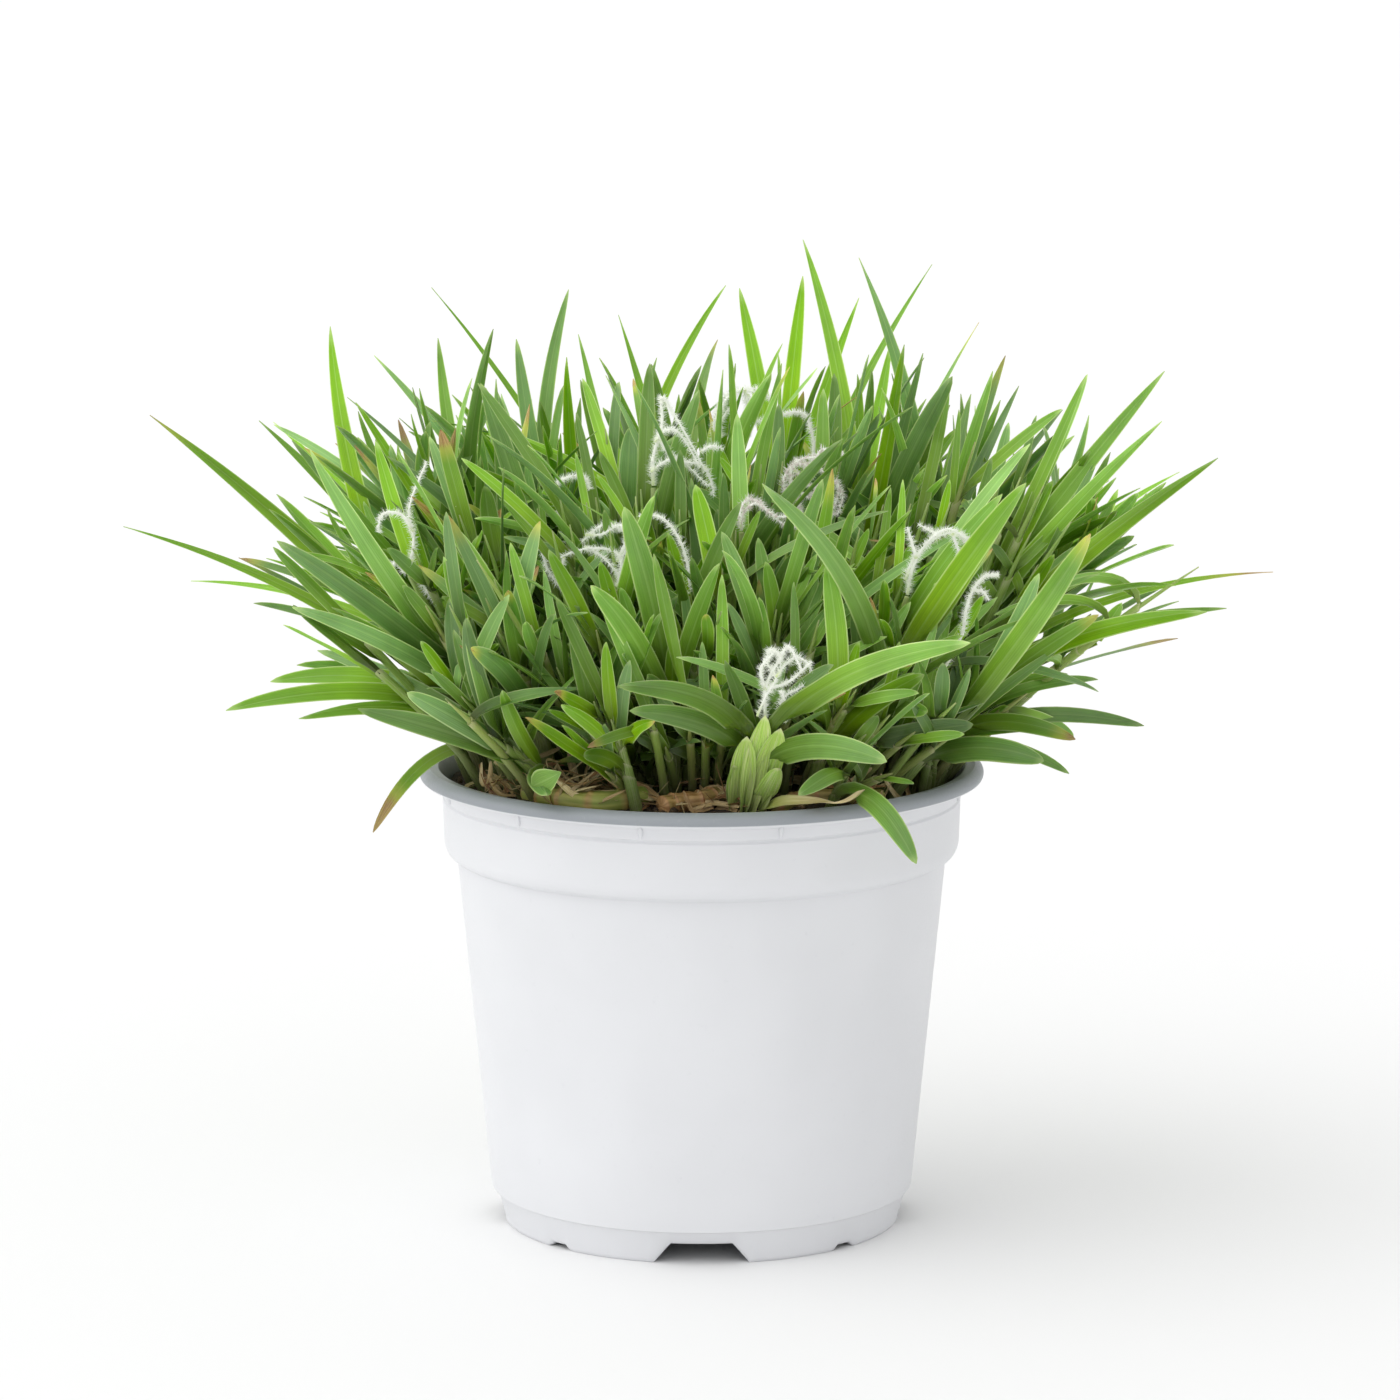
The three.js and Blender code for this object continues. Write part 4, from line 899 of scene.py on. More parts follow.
def straw_material():
    """Tint: how brown, how light, how green its foot is, and a number of the scrap's own."""
    s = Surface("straw", 0.7)
    across, along = s.map()
    brown, light, green, own = s.tint()
    streaks = s.streaks((across, along, own), (12, 4.0, 20))
    colour = s.blend(s.range(streaks, 0.35, 0.65), tone(196, 174, 116), tone(224, 208, 160))
    bark = s.blend(s.range(streaks, 0.35, 0.65), tone(104, 66, 34), tone(168, 122, 76))
    colour = s.blend(brown, colour, bark)
    foot = s.math("MULTIPLY", green, s.range(along, 0.0, 0.6, 1.0, 0.0))
    colour = s.blend(foot, colour, tone(150, 168, 66))
    s.colour(s.shaded(colour, light))
    s.bump(streaks, 0.5, 0.15)
    s.lets_light_through(0.25, (1.0, 0.8, 0.4), 0.8)
    return s.material


def flower_material():
    """Tint: 0 at a strand's foot, 1 along it, and how purple it is."""
    s = Surface("flower_down", 0.75)
    white, purple = s.tint()[:2]
    where = s.place()
    fine = s.noise(1.2 / MM, 3.0, where)
    colour = s.blend(s.range(white, 0.0, 0.3), tone(200, 216, 150), tone(246, 248, 240))
    colour = s.blend(s.math("MULTIPLY", purple, s.range(fine, 0.4, 0.6)), colour, tone(176, 142, 140))
    s.colour(colour)
    s.lets_light_through(0.4, (1.0, 1.0, 0.95), 1.0)
    # Painted light: a faint white glow that brightens the strands, though they are no lamp.
    s.shader.inputs["Emission Color"].default_value = tone(250, 255, 245)
    s.shader.inputs["Emission Strength"].default_value = 0.1
    return s.material


leaf = leaf_material()
sheath = sheath_material()
pot_plastic = pot_material()
soil_look = soil_material()
crumb_look = crumb_material()
runner_look = runner_material()
straw_look = straw_material()
flower_look = flower_material()


# Pot

def inner_radius(z):
    body = mix(BODY_FOOT_RADIUS, BODY_TOP_RADIUS, (z - FOOT_STEP) / (COLLAR_BOTTOM - FOOT_STEP))
    if z < COLLAR_BOTTOM:
        return body - WALL
    ease = min(1, (z - COLLAR_BOTTOM) / (COLLAR_EASE - COLLAR_BOTTOM))
    return mix(BODY_TOP_RADIUS, COLLAR_RADIUS, ease) - WALL


def foot_height(angle):
    """How high the foot's edge is over the ground at an angle round the pot, with its cut-outs."""
    height = np.zeros_like(angle)
    for cut in (NOTCH, NICK):
        spacing = 2 * math.pi / cut["count"]
        off = (angle - math.pi / 2 - cut["turn"] + spacing / 2) % spacing - spacing / 2
        beside = np.abs(off) * FOOT_RADIUS
        slope = (cut["bottom"] / 2 - beside) / ((cut["bottom"] - cut["top"]) / 2)
        height = np.maximum(height, np.clip(slope, 0, 1) * cut["height"])
    return height


def pot_profile():
    """The pot's outline as (radius, height, how grey), from the middle of its underside up the outside,
    over the rim and down the inside. Heights under FOOT_STEP are shares of the way up from the foot."""
    inside = FOOT_RADIUS - FOOT_WALL
    floor_top = FLOOR_UNDERSIDE + FLOOR
    rows = [(0, FLOOR_UNDERSIDE, 1), (inside - 3, FLOOR_UNDERSIDE, 1), (inside, FLOOR_UNDERSIDE - 0.3, 1)]
    rows += [(inside, 0.15, 1), (inside + 0.3, 0, 0.5), (FOOT_RADIUS - 0.3, 0, 0), (FOOT_RADIUS, 0.25, 0)]
    rows += [(FOOT_RADIUS + 0.5, 1.2, 0), (BODY_FOOT_RADIUS - 1, FOOT_STEP - 0.9, 0)]
    rows += [(BODY_FOOT_RADIUS - 0.75, FOOT_STEP - 0.55, 0), (BODY_FOOT_RADIUS - 0.1, FOOT_STEP - 0.25, 0)]
    rows += [(BODY_FOOT_RADIUS, FOOT_STEP + 0.15, 0)]
    for share in np.linspace(0.04, 0.985, 14):
        rows.append((mix(BODY_FOOT_RADIUS, BODY_TOP_RADIUS, share), mix(FOOT_STEP, COLLAR_BOTTOM, share), 0))
    rows += [(BODY_TOP_RADIUS, COLLAR_BOTTOM - 0.1, 0), (BODY_TOP_RADIUS + 0.35, COLLAR_BOTTOM + 0.25, 0)]
    for turn in np.linspace(0.25, 1, 6) * math.pi / 2:
        out, up = 2.1 * math.sin(turn) - 2.4, 4.4 - 3.9 * math.cos(turn)
        rows.append((COLLAR_RADIUS + out, COLLAR_BOTTOM + up, 0))
    rows += [(COLLAR_RADIUS - 0.2, COLLAR_EASE + 2, 0), (COLLAR_RADIUS, COLLAR_TOP - 0.5, 0)]
    rows += [(COLLAR_RADIUS - 0.3, COLLAR_TOP - 0.1, 0), (COLLAR_RADIUS - 0.3, COLLAR_TOP + 0.2, 0)]
    rows += [(COLLAR_RADIUS + 0.15, COLLAR_TOP + 0.5, 0), (COLLAR_RADIUS + 0.6, RIM_UNDERSIDE - 1.2, 0)]
    rows += [(COLLAR_RADIUS + 1.9, RIM_UNDERSIDE - 0.1, 0), (RIM_RADIUS - 0.9, RIM_UNDERSIDE, 0)]
    rows += [(RIM_RADIUS - 0.5, RIM_UNDERSIDE + 0.12, 0), (RIM_RADIUS - 0.32, RIM_UNDERSIDE + 0.35, 0.2)]
    low = point(RIM_RADIUS - 0.25, RIM_UNDERSIDE + 0.5)
    out = point(RIM_RADIUS + 0.35, RIM_UNDERSIDE + 2.1)
    top = point(RIM_RADIUS - 1.7, RIM_TOP - 0.1)
    # Painted shade: the rim's outer roll takes grey 1, the darkest grey, while the flat top stays lighter;
    # the inside rows further down take grey 1 as well.
    rows += [(*bezier(low, out, top, share).tolist(), 1) for share in np.linspace(0, 1, 9)]
    rows += [(RIM_RADIUS - 2.1, RIM_TOP, 0.9), (RIM_RADIUS - 2.5, RIM_TOP - 0.2, 0.86)]
    rows += [(MOUTH_RADIUS + 1.1, RIM_TOP - 0.25, 0.86), (MOUTH_RADIUS + 0.4, RIM_TOP - 0.5, 0.84)]
    rows += [(MOUTH_RADIUS, RIM_TOP - 1.1, 0.92), (inner_radius(COLLAR_TOP) + 0.3, COLLAR_TOP + 1, 1)]
    rows += [(inner_radius(COLLAR_TOP), COLLAR_TOP, 1), (inner_radius(COLLAR_EASE), COLLAR_EASE, 1)]
    rows += [(inner_radius(COLLAR_BOTTOM), COLLAR_BOTTOM, 1), (inner_radius(FOOT_STEP), FOOT_STEP, 1)]
    rows += [(inner_radius(floor_top) - 1, floor_top, 1), (0, floor_top, 1)]
    return rows


POT_SIDES = 288


def make_pot():
    rows = pot_profile()
    angle = np.linspace(0, 2 * math.pi, POT_SIDES, endpoint=False)
    edge = foot_height(angle)
    rings = []
    for r, z, _ in rows[1:-1]:
        height = np.full_like(angle, z)
        if z < FOOT_STEP - 1 and r > FOOT_RADIUS - FOOT_WALL - 0.1:
            height = mix(edge, FOOT_STEP, z / FOOT_STEP)
            if r < FOOT_RADIUS - FOOT_WALL + 0.1:
                height = np.minimum(mix(edge, FLOOR_UNDERSIDE, z / FLOOR_UNDERSIDE), FLOOR_UNDERSIDE)
        rings.append(round_axis(r, angle, height))
    greys = np.array([(grey, 0, 0, 1) for _, _, grey in rows[1:-1]])
    skin = Skin()
    skin.loft(np.array(rings), (angle / (2 * math.pi))[None, :], np.linspace(0, 1, len(rings)), greys)
    body = skin.piece("pot_shell", [pot_plastic], ["pot"], crease=35)
    holes = Skin()
    for i in range(DRAIN["count"]):
        turn = (i + 0.5) * 2 * math.pi / DRAIN["count"]
        x, y = DRAIN["circle"] * math.cos(turn), DRAIN["circle"] * math.sin(turn)
        line = np.array([[x, y, FLOOR_UNDERSIDE - 2], [x, y, FLOOR_UNDERSIDE + FLOOR + 2]])
        tube(holes, line, np.array([[0, 0, 1.0]] * 2), [DRAIN["radius"]] * 2, 32, (1, 0, 0, 1))
    drill = placed("drill", bpy.data.meshes.new("drill"))
    drill.data.from_pydata(np.concatenate(holes.points) * MM, [], holes.faces)
    cut = body.modifiers.new("drain_holes", "BOOLEAN")
    cut.object = drill
    cut.operation = "DIFFERENCE"
    cut.solver = "EXACT"
    shown = body.evaluated_get(bpy.context.evaluated_depsgraph_get())
    body.data = bpy.data.meshes.new_from_object(shown)
    body.modifiers.clear()
    bpy.data.objects.remove(drill)


def make_lugs():
    """Small upright lugs in the neck under the rim."""
    skin = Skin()
    for i in range(LUGS["count"]):
        angle = math.radians(LUGS["first"] - 90 + i * 360 / LUGS["count"])
        away = point(math.cos(angle), math.sin(angle), 0)
        side = point(-math.sin(angle), math.cos(angle), 0)
        heights = np.linspace(LUGS["low"], LUGS["high"], 7)
        swell = np.sin(np.linspace(0.12, math.pi - 0.12, 7)) ** 0.5
        out = COLLAR_RADIUS + LUGS["depth"] - 0.2 + np.linspace(0, 0.5, 7)
        line = np.outer(out, away) + np.outer(heights, (0, 0, 1))
        turn = np.linspace(0, 2 * math.pi, 12, endpoint=False)
        ring = away * column(LUGS["depth"] * np.cos(turn)) + side * column(LUGS["width"] / 2 * np.sin(turn))
        rings = line[:, None] + ring[None] * column(column(swell))
        skin.loft(rings, turn[None] / 7, heights / 200, (0, 0, 0, 1))
    skin.piece("pot_lugs", [pot_plastic])


make_pot()
make_lugs()


# Soil

def soil_top(x, y):
    r = min(1, math.hypot(x, y) / SOIL_RADIUS)
    return SOIL_EDGE + SOIL_MOUND * (1 - r * r)


def rough_soil(x, y):
    """The height of the crumbly surface of the soil."""
    heap = FRONT_HEAP * float(smooth((-y - 18) / 24))
    height = soil_top(x, y) - 0.5 + heap
    for high, scale, layer in SOIL_LUMPS:
        height += high * noise.noise(Vector((x * scale, y * scale, layer)))
    return height


def make_soil():
    angle = np.linspace(0, 2 * math.pi, 200, endpoint=False)
    bottom = FLOOR_UNDERSIDE + FLOOR + GAP
    side = [(inner_radius(z) - GAP, z) for z in (bottom + 2, COLLAR_BOTTOM, COLLAR_EASE)]
    rings = []
    for r, z in [(10, bottom), (inner_radius(bottom) - GAP - 1, bottom), *side]:
        rings.append(round_axis(r, angle, z))
    edge = inner_radius(SOIL_EDGE) - GAP
    for r in np.append(edge - np.linspace(0, 1, 80) ** 0.9 * (edge - 0.4), 0.2):
        ring = round_axis(r, angle, 0.0)
        rings.append(np.array([(x, y, rough_soil(x, y)) for x, y, _ in ring]))
    skin = Skin()
    skin.loft(np.array(rings), (angle / 7)[None, :], np.linspace(0, 1, len(rings)), (0, 0, 0, 1))
    skin.piece("soil_bed", [soil_look], ["soil"])


CRUMBS = dict(count=2200, corners=5, smallest=0.3, more=0.9, inset=1.6, pale=0.07)


def make_crumbs():
    """Loose crumbs, with some pale grit and bark among them: each a lump of irregular rings."""
    skin = Skin()
    for _ in range(CRUMBS["count"]):
        r = (inner_radius(SOIL_EDGE) - CRUMBS["inset"]) * math.sqrt(rng.random())
        angle = rng.random() * 2 * math.pi
        x, y = r * math.cos(angle), r * math.sin(angle)
        size = CRUMBS["smallest"] + CRUMBS["more"] * rng.random() ** 3
        heights = np.array([-0.8, -0.3, 0.35, 0.75]) * size * rng.uniform(0.6, 1.0)
        radii = np.array([0.45, 1.0, 0.9, 0.35]) * size
        turn = np.linspace(0, 2 * math.pi, CRUMBS["corners"], endpoint=False) + rng.random()
        reach = radii[:, None] * rng.uniform(0.7, 1.25, (4, CRUMBS["corners"]))
        lean = turned_frame(rng.normal(size=3))
        rings = round_axis(reach, turn, column(heights)) @ lean + (x, y, rough_soil(x, y) + 0.25 * size)
        pale = 1.0 if rng.random() < CRUMBS["pale"] else 0.25 * rng.random()
        skin.loft(rings, 0.5, np.linspace(0, 1, 4), (pale, 0, 0, 1))
    skin.piece("soil_crumbs", [crumb_look], crease=30)


def turned_frame(direction):
    """Three unit directions square to each other, the last of them as given."""
    up = unit(direction)
    side = unit(np.cross(up, (0.3, 0.5, 0.8)))
    return np.array([side, np.cross(up, side), up])


make_soil()
make_crumbs()


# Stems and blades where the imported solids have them

def make_stem(root, top, radius=STEM_RADIUS, flower=False):
    x, y = root
    start = point(x, y, soil_top(x, y) + 0.6)
    end = point(*top)
    knee = point(mix(x, end[0], 0.35), mix(y, end[1], 0.35), mix(start[2], end[2], 0.5))
    return SimpleNamespace(root=root, radius=radius, start=start, knee=knee, tip=end, flower=flower)


def on_stem(stem, share):
    return bezier(stem.start, stem.knee, stem.tip, share)


def along_stem(stem, share):
    return bezier_direction(stem.start, stem.knee, stem.tip, share)


def attach(stem, i, n):
    share = mix(0.42, 0.82, i / (n - 1)) if n > 1 else 0.75
    ring = next(k for k, high in enumerate(STEM_RINGS) if high > share)
    low, high = STEM_RINGS[ring - 1], STEM_RINGS[ring]
    start = mix(on_stem(stem, low), on_stem(stem, high), (share - low) / (high - low))
    return share, start, along_stem(stem, share)


def blade_of(share, start, along, tip, facing, width):
    """A blade that leaves its stem at a share of the stem's length, with its line and its widest."""
    return SimpleNamespace(share=share, start=start, along=along, tip=tip, facing=facing, width=width)


def named_blade(stem, given, i, n, ident, attempt):
    random = random_from(SEED + 1000 * ident + 60 * i + attempt)
    tip = np.array([given[k] + (random() - 0.5) * 0.6 * attempt for k in range(3)])
    share, start, along = attach(stem, i, n)
    width = max(BLADE_WIDTH, given[3])
    roll = math.acos(given[3] / width) * (-1 if random() < 0.5 else 1)
    roll += (random() - 0.5) * 0.04 * attempt
    chord = unit(tip - start)
    facing = turned(unit(point(0, -1, 0.4 + 3 * max(0, chord[1]) ** 2)), chord, 0.3 * roll)
    seen = given[3] * (1.04 if tip[1] < -45 else 0.92)
    return blade_of(share, start, along, tip, facing, seen)


def reach_of(p):
    high = max(0, p[2] - SPREAD["middle"]) / SPREAD["top"]
    return (abs(p[0] / SPREAD["x"]) ** 2.2 + abs(p[1] / SPREAD["y"]) ** 2.2 + high**2.2) ** (1 / 2.2)


def drawn_blade(stem, i, n, ident, attempt):
    random = random_from(SEED + 100000 + 1000 * ident + 100 * i + attempt)
    share, start, along = attach(stem, i, n)
    outward = math.atan2(start[1], start[0])
    turn = stem.plane + math.pi * (i % 2) + (random() - 0.5) * 1.4
    spread = mix(0.8, 0.14, i / max(1, n - 1)) * (0.6 + 0.8 * random())
    side = point(math.cos(turn), math.sin(turn), 0)
    direction = unit(along + side * math.tan(spread))
    direction = unit(direction + 0.12 * point(math.cos(outward), math.sin(outward), 0))
    tip = start + direction * (38 + 40 * random())
    excess = reach_of(tip) / (0.84 + 0.12 * random())
    if excess > 1:
        tip = point(tip[0] / excess, tip[1] / excess, mix(SPREAD["middle"], tip[2], 1 / excess))
    low = SPREAD["low"] + 0.45 * max(0, -30 - tip[1])
    tip[2] = max(tip[2], low + 8 * random())
    facing = 1.5 * point(random() - 0.5, random() - 0.5, 0)
    facing = unit(facing - 0.6 * side + (0, 0, 0.5))
    width = 2.6 + 1.6 * random()
    return blade_of(share, start, along, tip, facing, width)


def tuft_roots():
    taken = [shoot["root"] for shoot in SHOOTS.values()]
    roots = []
    i = 0
    while len(roots) < TUFTS["count"]:
        r = TUFTS["reach"] * math.sqrt((i * 0.618) % 1)
        spot = (r * math.cos(i * GOLDEN_ANGLE), r * math.sin(i * GOLDEN_ANGLE))
        i += 1
        clear = all(math.hypot(x - spot[0], y - spot[1]) >= TUFTS["room"] for x, y in taken)
        if spot[1] >= TUFTS["front"] and clear:
            taken.append(spot)
            roots.append(spot)
    return roots


def tuft_stem(root, t, s, attempt):
    random = random_from(SEED + 500000 + 1000 * t + 100 * s + attempt)
    reach = math.hypot(*root) / TUFTS["reach"]
    outward = math.atan2(root[1], root[0])
    fan = (s / (TUFTS["stems"] - 1) - 0.5) * (2.6 - 1.3 * reach)
    azimuth = outward + fan + (random() - 0.5) * 0.8
    lean = mix(0.12, 0.6, reach**1.5) + (random() - 0.5) * 0.36 + 0.06
    height = 26 + 34 * random()
    out = math.tan(lean) * height
    top = (root[0] + out * math.cos(azimuth), root[1] + out * math.sin(azimuth), SOIL_EDGE + height)
    stem = make_stem(root, top, STEM_RADIUS if s == 0 else 0.8 * STEM_RADIUS)
    stem.plane = random() * math.pi
    return stem


def first_that_fits(candidate, tries, corners):
    """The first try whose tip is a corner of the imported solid, or None if the solid goes without it."""
    for attempt in range(tries):
        made = candidate(attempt)
        if np.abs(corners - made.tip).max(axis=1).min() < SAME_PLACE:
            return made
    return None


def drawn_blades(stem, n, ident, corners):
    found = []
    for i in range(n):
        found.append(first_that_fits(lambda a: drawn_blade(stem, i, n, ident, a), DRAWN_TRIES, corners))
    return [blade for blade in found if blade is not None]


def shoot_of(ident, name, shoot):
    """One leafy shoot: its named blades, and then the drawn ones."""
    corners = solid_points(name)
    radius = shoot.get("radius", STEM_RADIUS)
    stem = make_stem(shoot["root"], shoot["top"], radius, shoot.get("flower", False))
    stem.plane = math.atan2(shoot["root"][1], shoot["root"][0]) + 1
    n = len(shoot["blades"])
    stem.blades = []
    for i, given in enumerate(shoot["blades"]):
        found = first_that_fits(lambda a: named_blade(stem, given, i, n, ident, a), NAMED_TRIES, corners)
        if found is not None:
            stem.blades.append(found)
    stem.blades += drawn_blades(stem, shoot["more"], 200 + ident, corners)
    return stem


def tuft_of(t, root, name):
    """The stems of one young tuft. A stem whose tip is hidden is the one that most blades fit."""
    corners = solid_points(name)
    n = TUFTS["blades"]
    bundle = []
    for s in range(TUFTS["stems"]):
        ident = TUFTS["stems"] * t + s
        stem = first_that_fits(lambda a: tuft_stem(root, t, s, a), DRAWN_TRIES, corners)
        if stem is None:
            tries = [tuft_stem(root, t, s, a) for a in range(DRAWN_TRIES)]
            stem = max(tries, key=lambda made: len(drawn_blades(made, n, ident, corners)))
        stem.blades = drawn_blades(stem, n, ident, corners)
        bundle.append(stem)
    return bundle


def grow_frame_plant():
    """Each node's stems and blades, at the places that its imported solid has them."""
    plant = {}
    for ident, (name, shoot) in enumerate(SHOOTS.items()):
        plant[name] = [shoot_of(ident, name, shoot)]
    for t, root in enumerate(tuft_roots()):
        name = f"tuft_{t + 1:02d}"
        plant[name] = tuft_of(t, root, name)
    return plant


plant = grow_frame_plant()


# Looks of stems and blades

# A blade's section, from -1 to 1 across it, over its top and back under it, and the sides of its stem.
# Small shoots have plainer ones.
FINE = dict(top=[-1, -0.9, -0.5, 0, 0.5, 0.9, 1], bottom=[0.9, 0.5, 0, -0.5, -0.9], sides=12)
PLAIN = dict(top=[-1, -0.5, 0, 0.5, 1], bottom=[0.5, 0, -0.5], sides=8)
BLADE_THICK = 0.28
MIDRIB_GROOVE = 0.12
MIDRIB_KEEL = 0.22
TIP_INSET = 0.4
STEM_SLIM = 0.62
SHEATH_STEP = 0.09


def visual_width(share, slender):
    """How wide a blade is along it, as a share of its widest: a strap if short, a long taper if slender."""
    foot = 0.66 + 0.34 * smooth(share / 0.28)
    strap = (1 - np.clip((share - 0.4) / 0.6, 0, 1) ** 3.6) ** 0.6
    taper = (1 - share**2.3) ** 0.9
    return foot * mix(strap, taper, slender)


def blade_line(blade):
    chord = blade.tip - blade.start
    leave = unit(unit(chord) + blade.along)
    end = blade.tip - unit(chord) * TIP_INSET
    return blade.start, blade.start + leave * BLADE_REACH * np.linalg.norm(chord), end


def stem_radius(stem, share):
    slim = STEM_SLIM * stem.radius * mix(1, 0.72, np.minimum(share, 0.78))
    end = (FLOWER_STEM_TIP if stem.flower else 0.3) / stem.radius
    return slim * mix(1, end, np.clip((share - 0.78) / 0.22, 0, 1) ** 1.3)


def across_section(section):
    """How far across the blade the points of its section lie, and which of them are on its top."""
    x = np.array(section["top"] + section["bottom"])[None, :]
    return x, np.arange(x.size)[None, :] < len(section["top"])


def add_blade(skin, stem, blade, steps=18, kind=0, section=FINE):
    """A thin tapering strip that wraps its stem at its foot, then opens into a shallow V."""
    share = 1 - (1 - np.linspace(0, 1, steps)) ** 1.25
    ends = blade_line(blade)
    on_curve = on_stem(stem, blade.share) - blade.start
    direction = bezier_direction(*ends, share)
    chord = unit(blade.tip - blade.start)
    outward = unit(chord - blade.along * np.dot(chord, blade.along))
    around = float(stem_radius(stem, blade.share)) + 0.12
    line = bezier(*ends, share) + on_curve * column(1 - smooth(share / 0.2))
    line = line + outward * around * column(1 - smooth(share / 0.14))
    facing = blade.facing if np.dot(blade.facing, -outward) >= 0 else -blade.facing
    turn = column(smooth(share / 0.35))
    toward = unit(-outward * (1 - turn) + facing * turn)
    side = unit(np.cross(direction, toward))
    normal = np.cross(side, direction)
    twist = column(blade.twist * share**2)
    side = side * np.cos(twist) + normal * np.sin(twist)
    normal = np.cross(side, direction)
    half = column(np.maximum(blade.width / 2 * visual_width(share, blade.slender), 0.1))
    x, is_top = across_section(section)
    bend = column((1 - smooth(share / 0.1)) / around) + 1e-4
    fold = column(mix(blade.fold, BLADE_CUP, smooth((share - 0.1) / 0.5)) * smooth(share / 0.08))
    fold = fold + column(0.25 * smooth((share - 0.75) / 0.25))
    lateral = np.sin(bend * x * half) / bend * np.cos(np.arctan(fold))
    height = (1 - np.cos(bend * x * half)) / bend + fold * half * np.abs(x) ** 1.25
    height = height + 0.05 * half * np.abs(x) ** 3 * np.sin(column(share) * blade.ripple + x + blade.own * 9)
    thick = BLADE_THICK * column(1 - 0.55 * share) * np.where(np.abs(x) < 0.95, 1 - 0.55 * x**2, 0.3)
    middle = np.abs(x) < 0.1
    small = np.minimum(1, half / 1.2)
    height = height + np.where(is_top, thick / 2, -thick / 2)
    height = height - small * np.where(middle, np.where(is_top, MIDRIB_GROOVE, MIDRIB_KEEL), 0)
    rings = line[:, None] + side[:, None] * lateral[..., None] + normal[:, None] * height[..., None]
    tint = (blade.blue, blade.light, blade.dry, blade.own)
    skin.loft(rings, (1 + x) / 2, share, tint, kind)


def add_sheath(skin, stem, blade, low, extra, section=FINE):
    """The sheath of one blade: a tube round the stem that ends in an oblique open mouth."""
    along = np.array([0, 0.35, 0.7, 0.92, 1, 1, 0.96])
    share = mix(low, blade.share, along[:5])
    line = on_stem(stem, np.maximum(share, 0))
    line[:, 2] += np.minimum(share, 0) * 40
    direction = along_stem(stem, np.maximum(share, 0))
    radii = stem_radius(stem, np.maximum(share, 0)) + extra + np.array([0, 0, 0.02, 0.08, 0.14])
    inner = line[-1] - direction[-1] * 1.6
    line = np.vstack([line, line[-1], inner])
    direction = np.vstack([direction, direction[-1], direction[-1]])
    radii = np.append(radii, [radii[-1] - 0.16, radii[-1] - 0.4])
    chord = unit(blade.tip - blade.start)
    outward = unit(chord - blade.along * np.dot(chord, blade.along))
    angle, ring = ring_along(direction, section["sides"])
    rings = line[:, None] + ring * column(column(radii))
    lift = (ring @ outward) * np.array([0, 0, 0, 0.3, 1, 1, 0.6])[:, None] * stem.radius * 0.7
    rings = rings + direction[:, None] * lift[..., None]
    skin.loft(rings, round_to_back(angle), along, (stem.old, stem.light, 0, blade.own), 1)


def add_stem(skin, stem, section=FINE):
    """The core of a shoot, which shows above its uppermost sheath as a rolled young leaf."""
    share = np.linspace(0, 1, 12)
    line = np.vstack([on_stem(stem, 0) - (0, 0, 4), on_stem(stem, share)])
    direction = np.vstack([(0, 0, 1), along_stem(stem, share)])
    radii = np.append(stem_radius(stem, 0), stem_radius(stem, share))
    tint = (stem.old, stem.light, 0, 0.5)
    tube(skin, line, direction, radii, section["sides"], tint, np.append(0, share), 1)


# Blades with a dry tip: how far down it has dried, by the tip
DRY_TIPS = {(-75, -20, 94): 0.2, (-76, 60, 194): 0.05, (133, 20, 148): 0.1, (84, -38, 119): 0.07}

# How blue-green and how light the broad leaves of the front are, by their tips
FRONT_LEAVES = {
    (57, -110, 153): (0.45, 1.2),
    (84, -80, 172): (0.5, 1.15),
    (40, -92, 124): (0.7, 1.1),
    (70, -80, 183): (0.2, 1.15),
    (76, -54, 117): (0.8, 0.95),
}


def named(tip):
    """The tip of a blade in whole millimetres, as SHOOTS gives it."""
    return tuple(np.round(tip).astype(int).tolist())


def give_looks(stem, driest=0.14):
    """Seeded colours, folds and twists for a stem and its blades."""
    low = float(np.clip((150 - stem.tip[2]) / 40, 0, 1))
    stem.old = 0.35 * rng.random() ** 2 + 0.1 * low
    stem.light = rng.uniform(0.85, 1.1)
    cool = rng.beta(1.3, 1.6)
    for blade in stem.blades:
        blade.blue = float(np.clip(getattr(blade, "cool", cool) + rng.normal(0, 0.2), 0, 1))
        # Blade lightness varies at random: partly each blade's own tone, partly painted light and shade that
        # make some blades look lit and others shaded.
        blade.light = rng.uniform(0.6, 1.54)
        blade.dry = rng.uniform(0.01, driest) if rng.random() < 0.1 else 0.0
        blade.dry = DRY_TIPS.get(named(blade.tip), blade.dry)
        blade.own = rng.random()
        blade.blue, blade.light = FRONT_LEAVES.get(named(blade.tip), (blade.blue, blade.light))
        blade.fold = rng.uniform(0.25, 0.7)
        blade.twist = rng.normal(0, 0.35)
        length = np.linalg.norm(blade.tip - blade.start)
        blade.slender = float(np.clip((length - 45) / 45 + rng.uniform(-0.25, 0.25), 0, 1))
        if blade.tip[1] < -45:
            blade.slender *= 0.35
        blade.ripple = rng.uniform(6, 16)


def dress(name, stems, steps=18, replaced=(), section=FINE):
    skin = Skin()
    for stem in stems:
        add_stem(skin, stem, section)
        blades = sorted(stem.blades, key=lambda b: b.share)
        for k, blade in enumerate(blades):
            low = -0.03 if k < 2 else blades[k - 2].share
            add_sheath(skin, stem, blade, low, 0.1 + SHEATH_STEP * (len(blades) - k), section)
            add_blade(skin, stem, blade, steps, 0, section)
    skin.piece(name, [leaf, sheath], replaced)


# The foot, the tip and the width of each sheath
BIG_SHEATHS = [
    ((8, -50, 104), (10, -60, 124), 6.2),
    ((11, -50, 104), (17.5, -61, 126), 6.6),
    ((9.5, -51, 104), (14, -61.5, 129), 6),
    ((12, -51, 104), (17, -61, 117), 5.4),
    ((7, -49, 104), (7, -57, 117), 4.6),
]


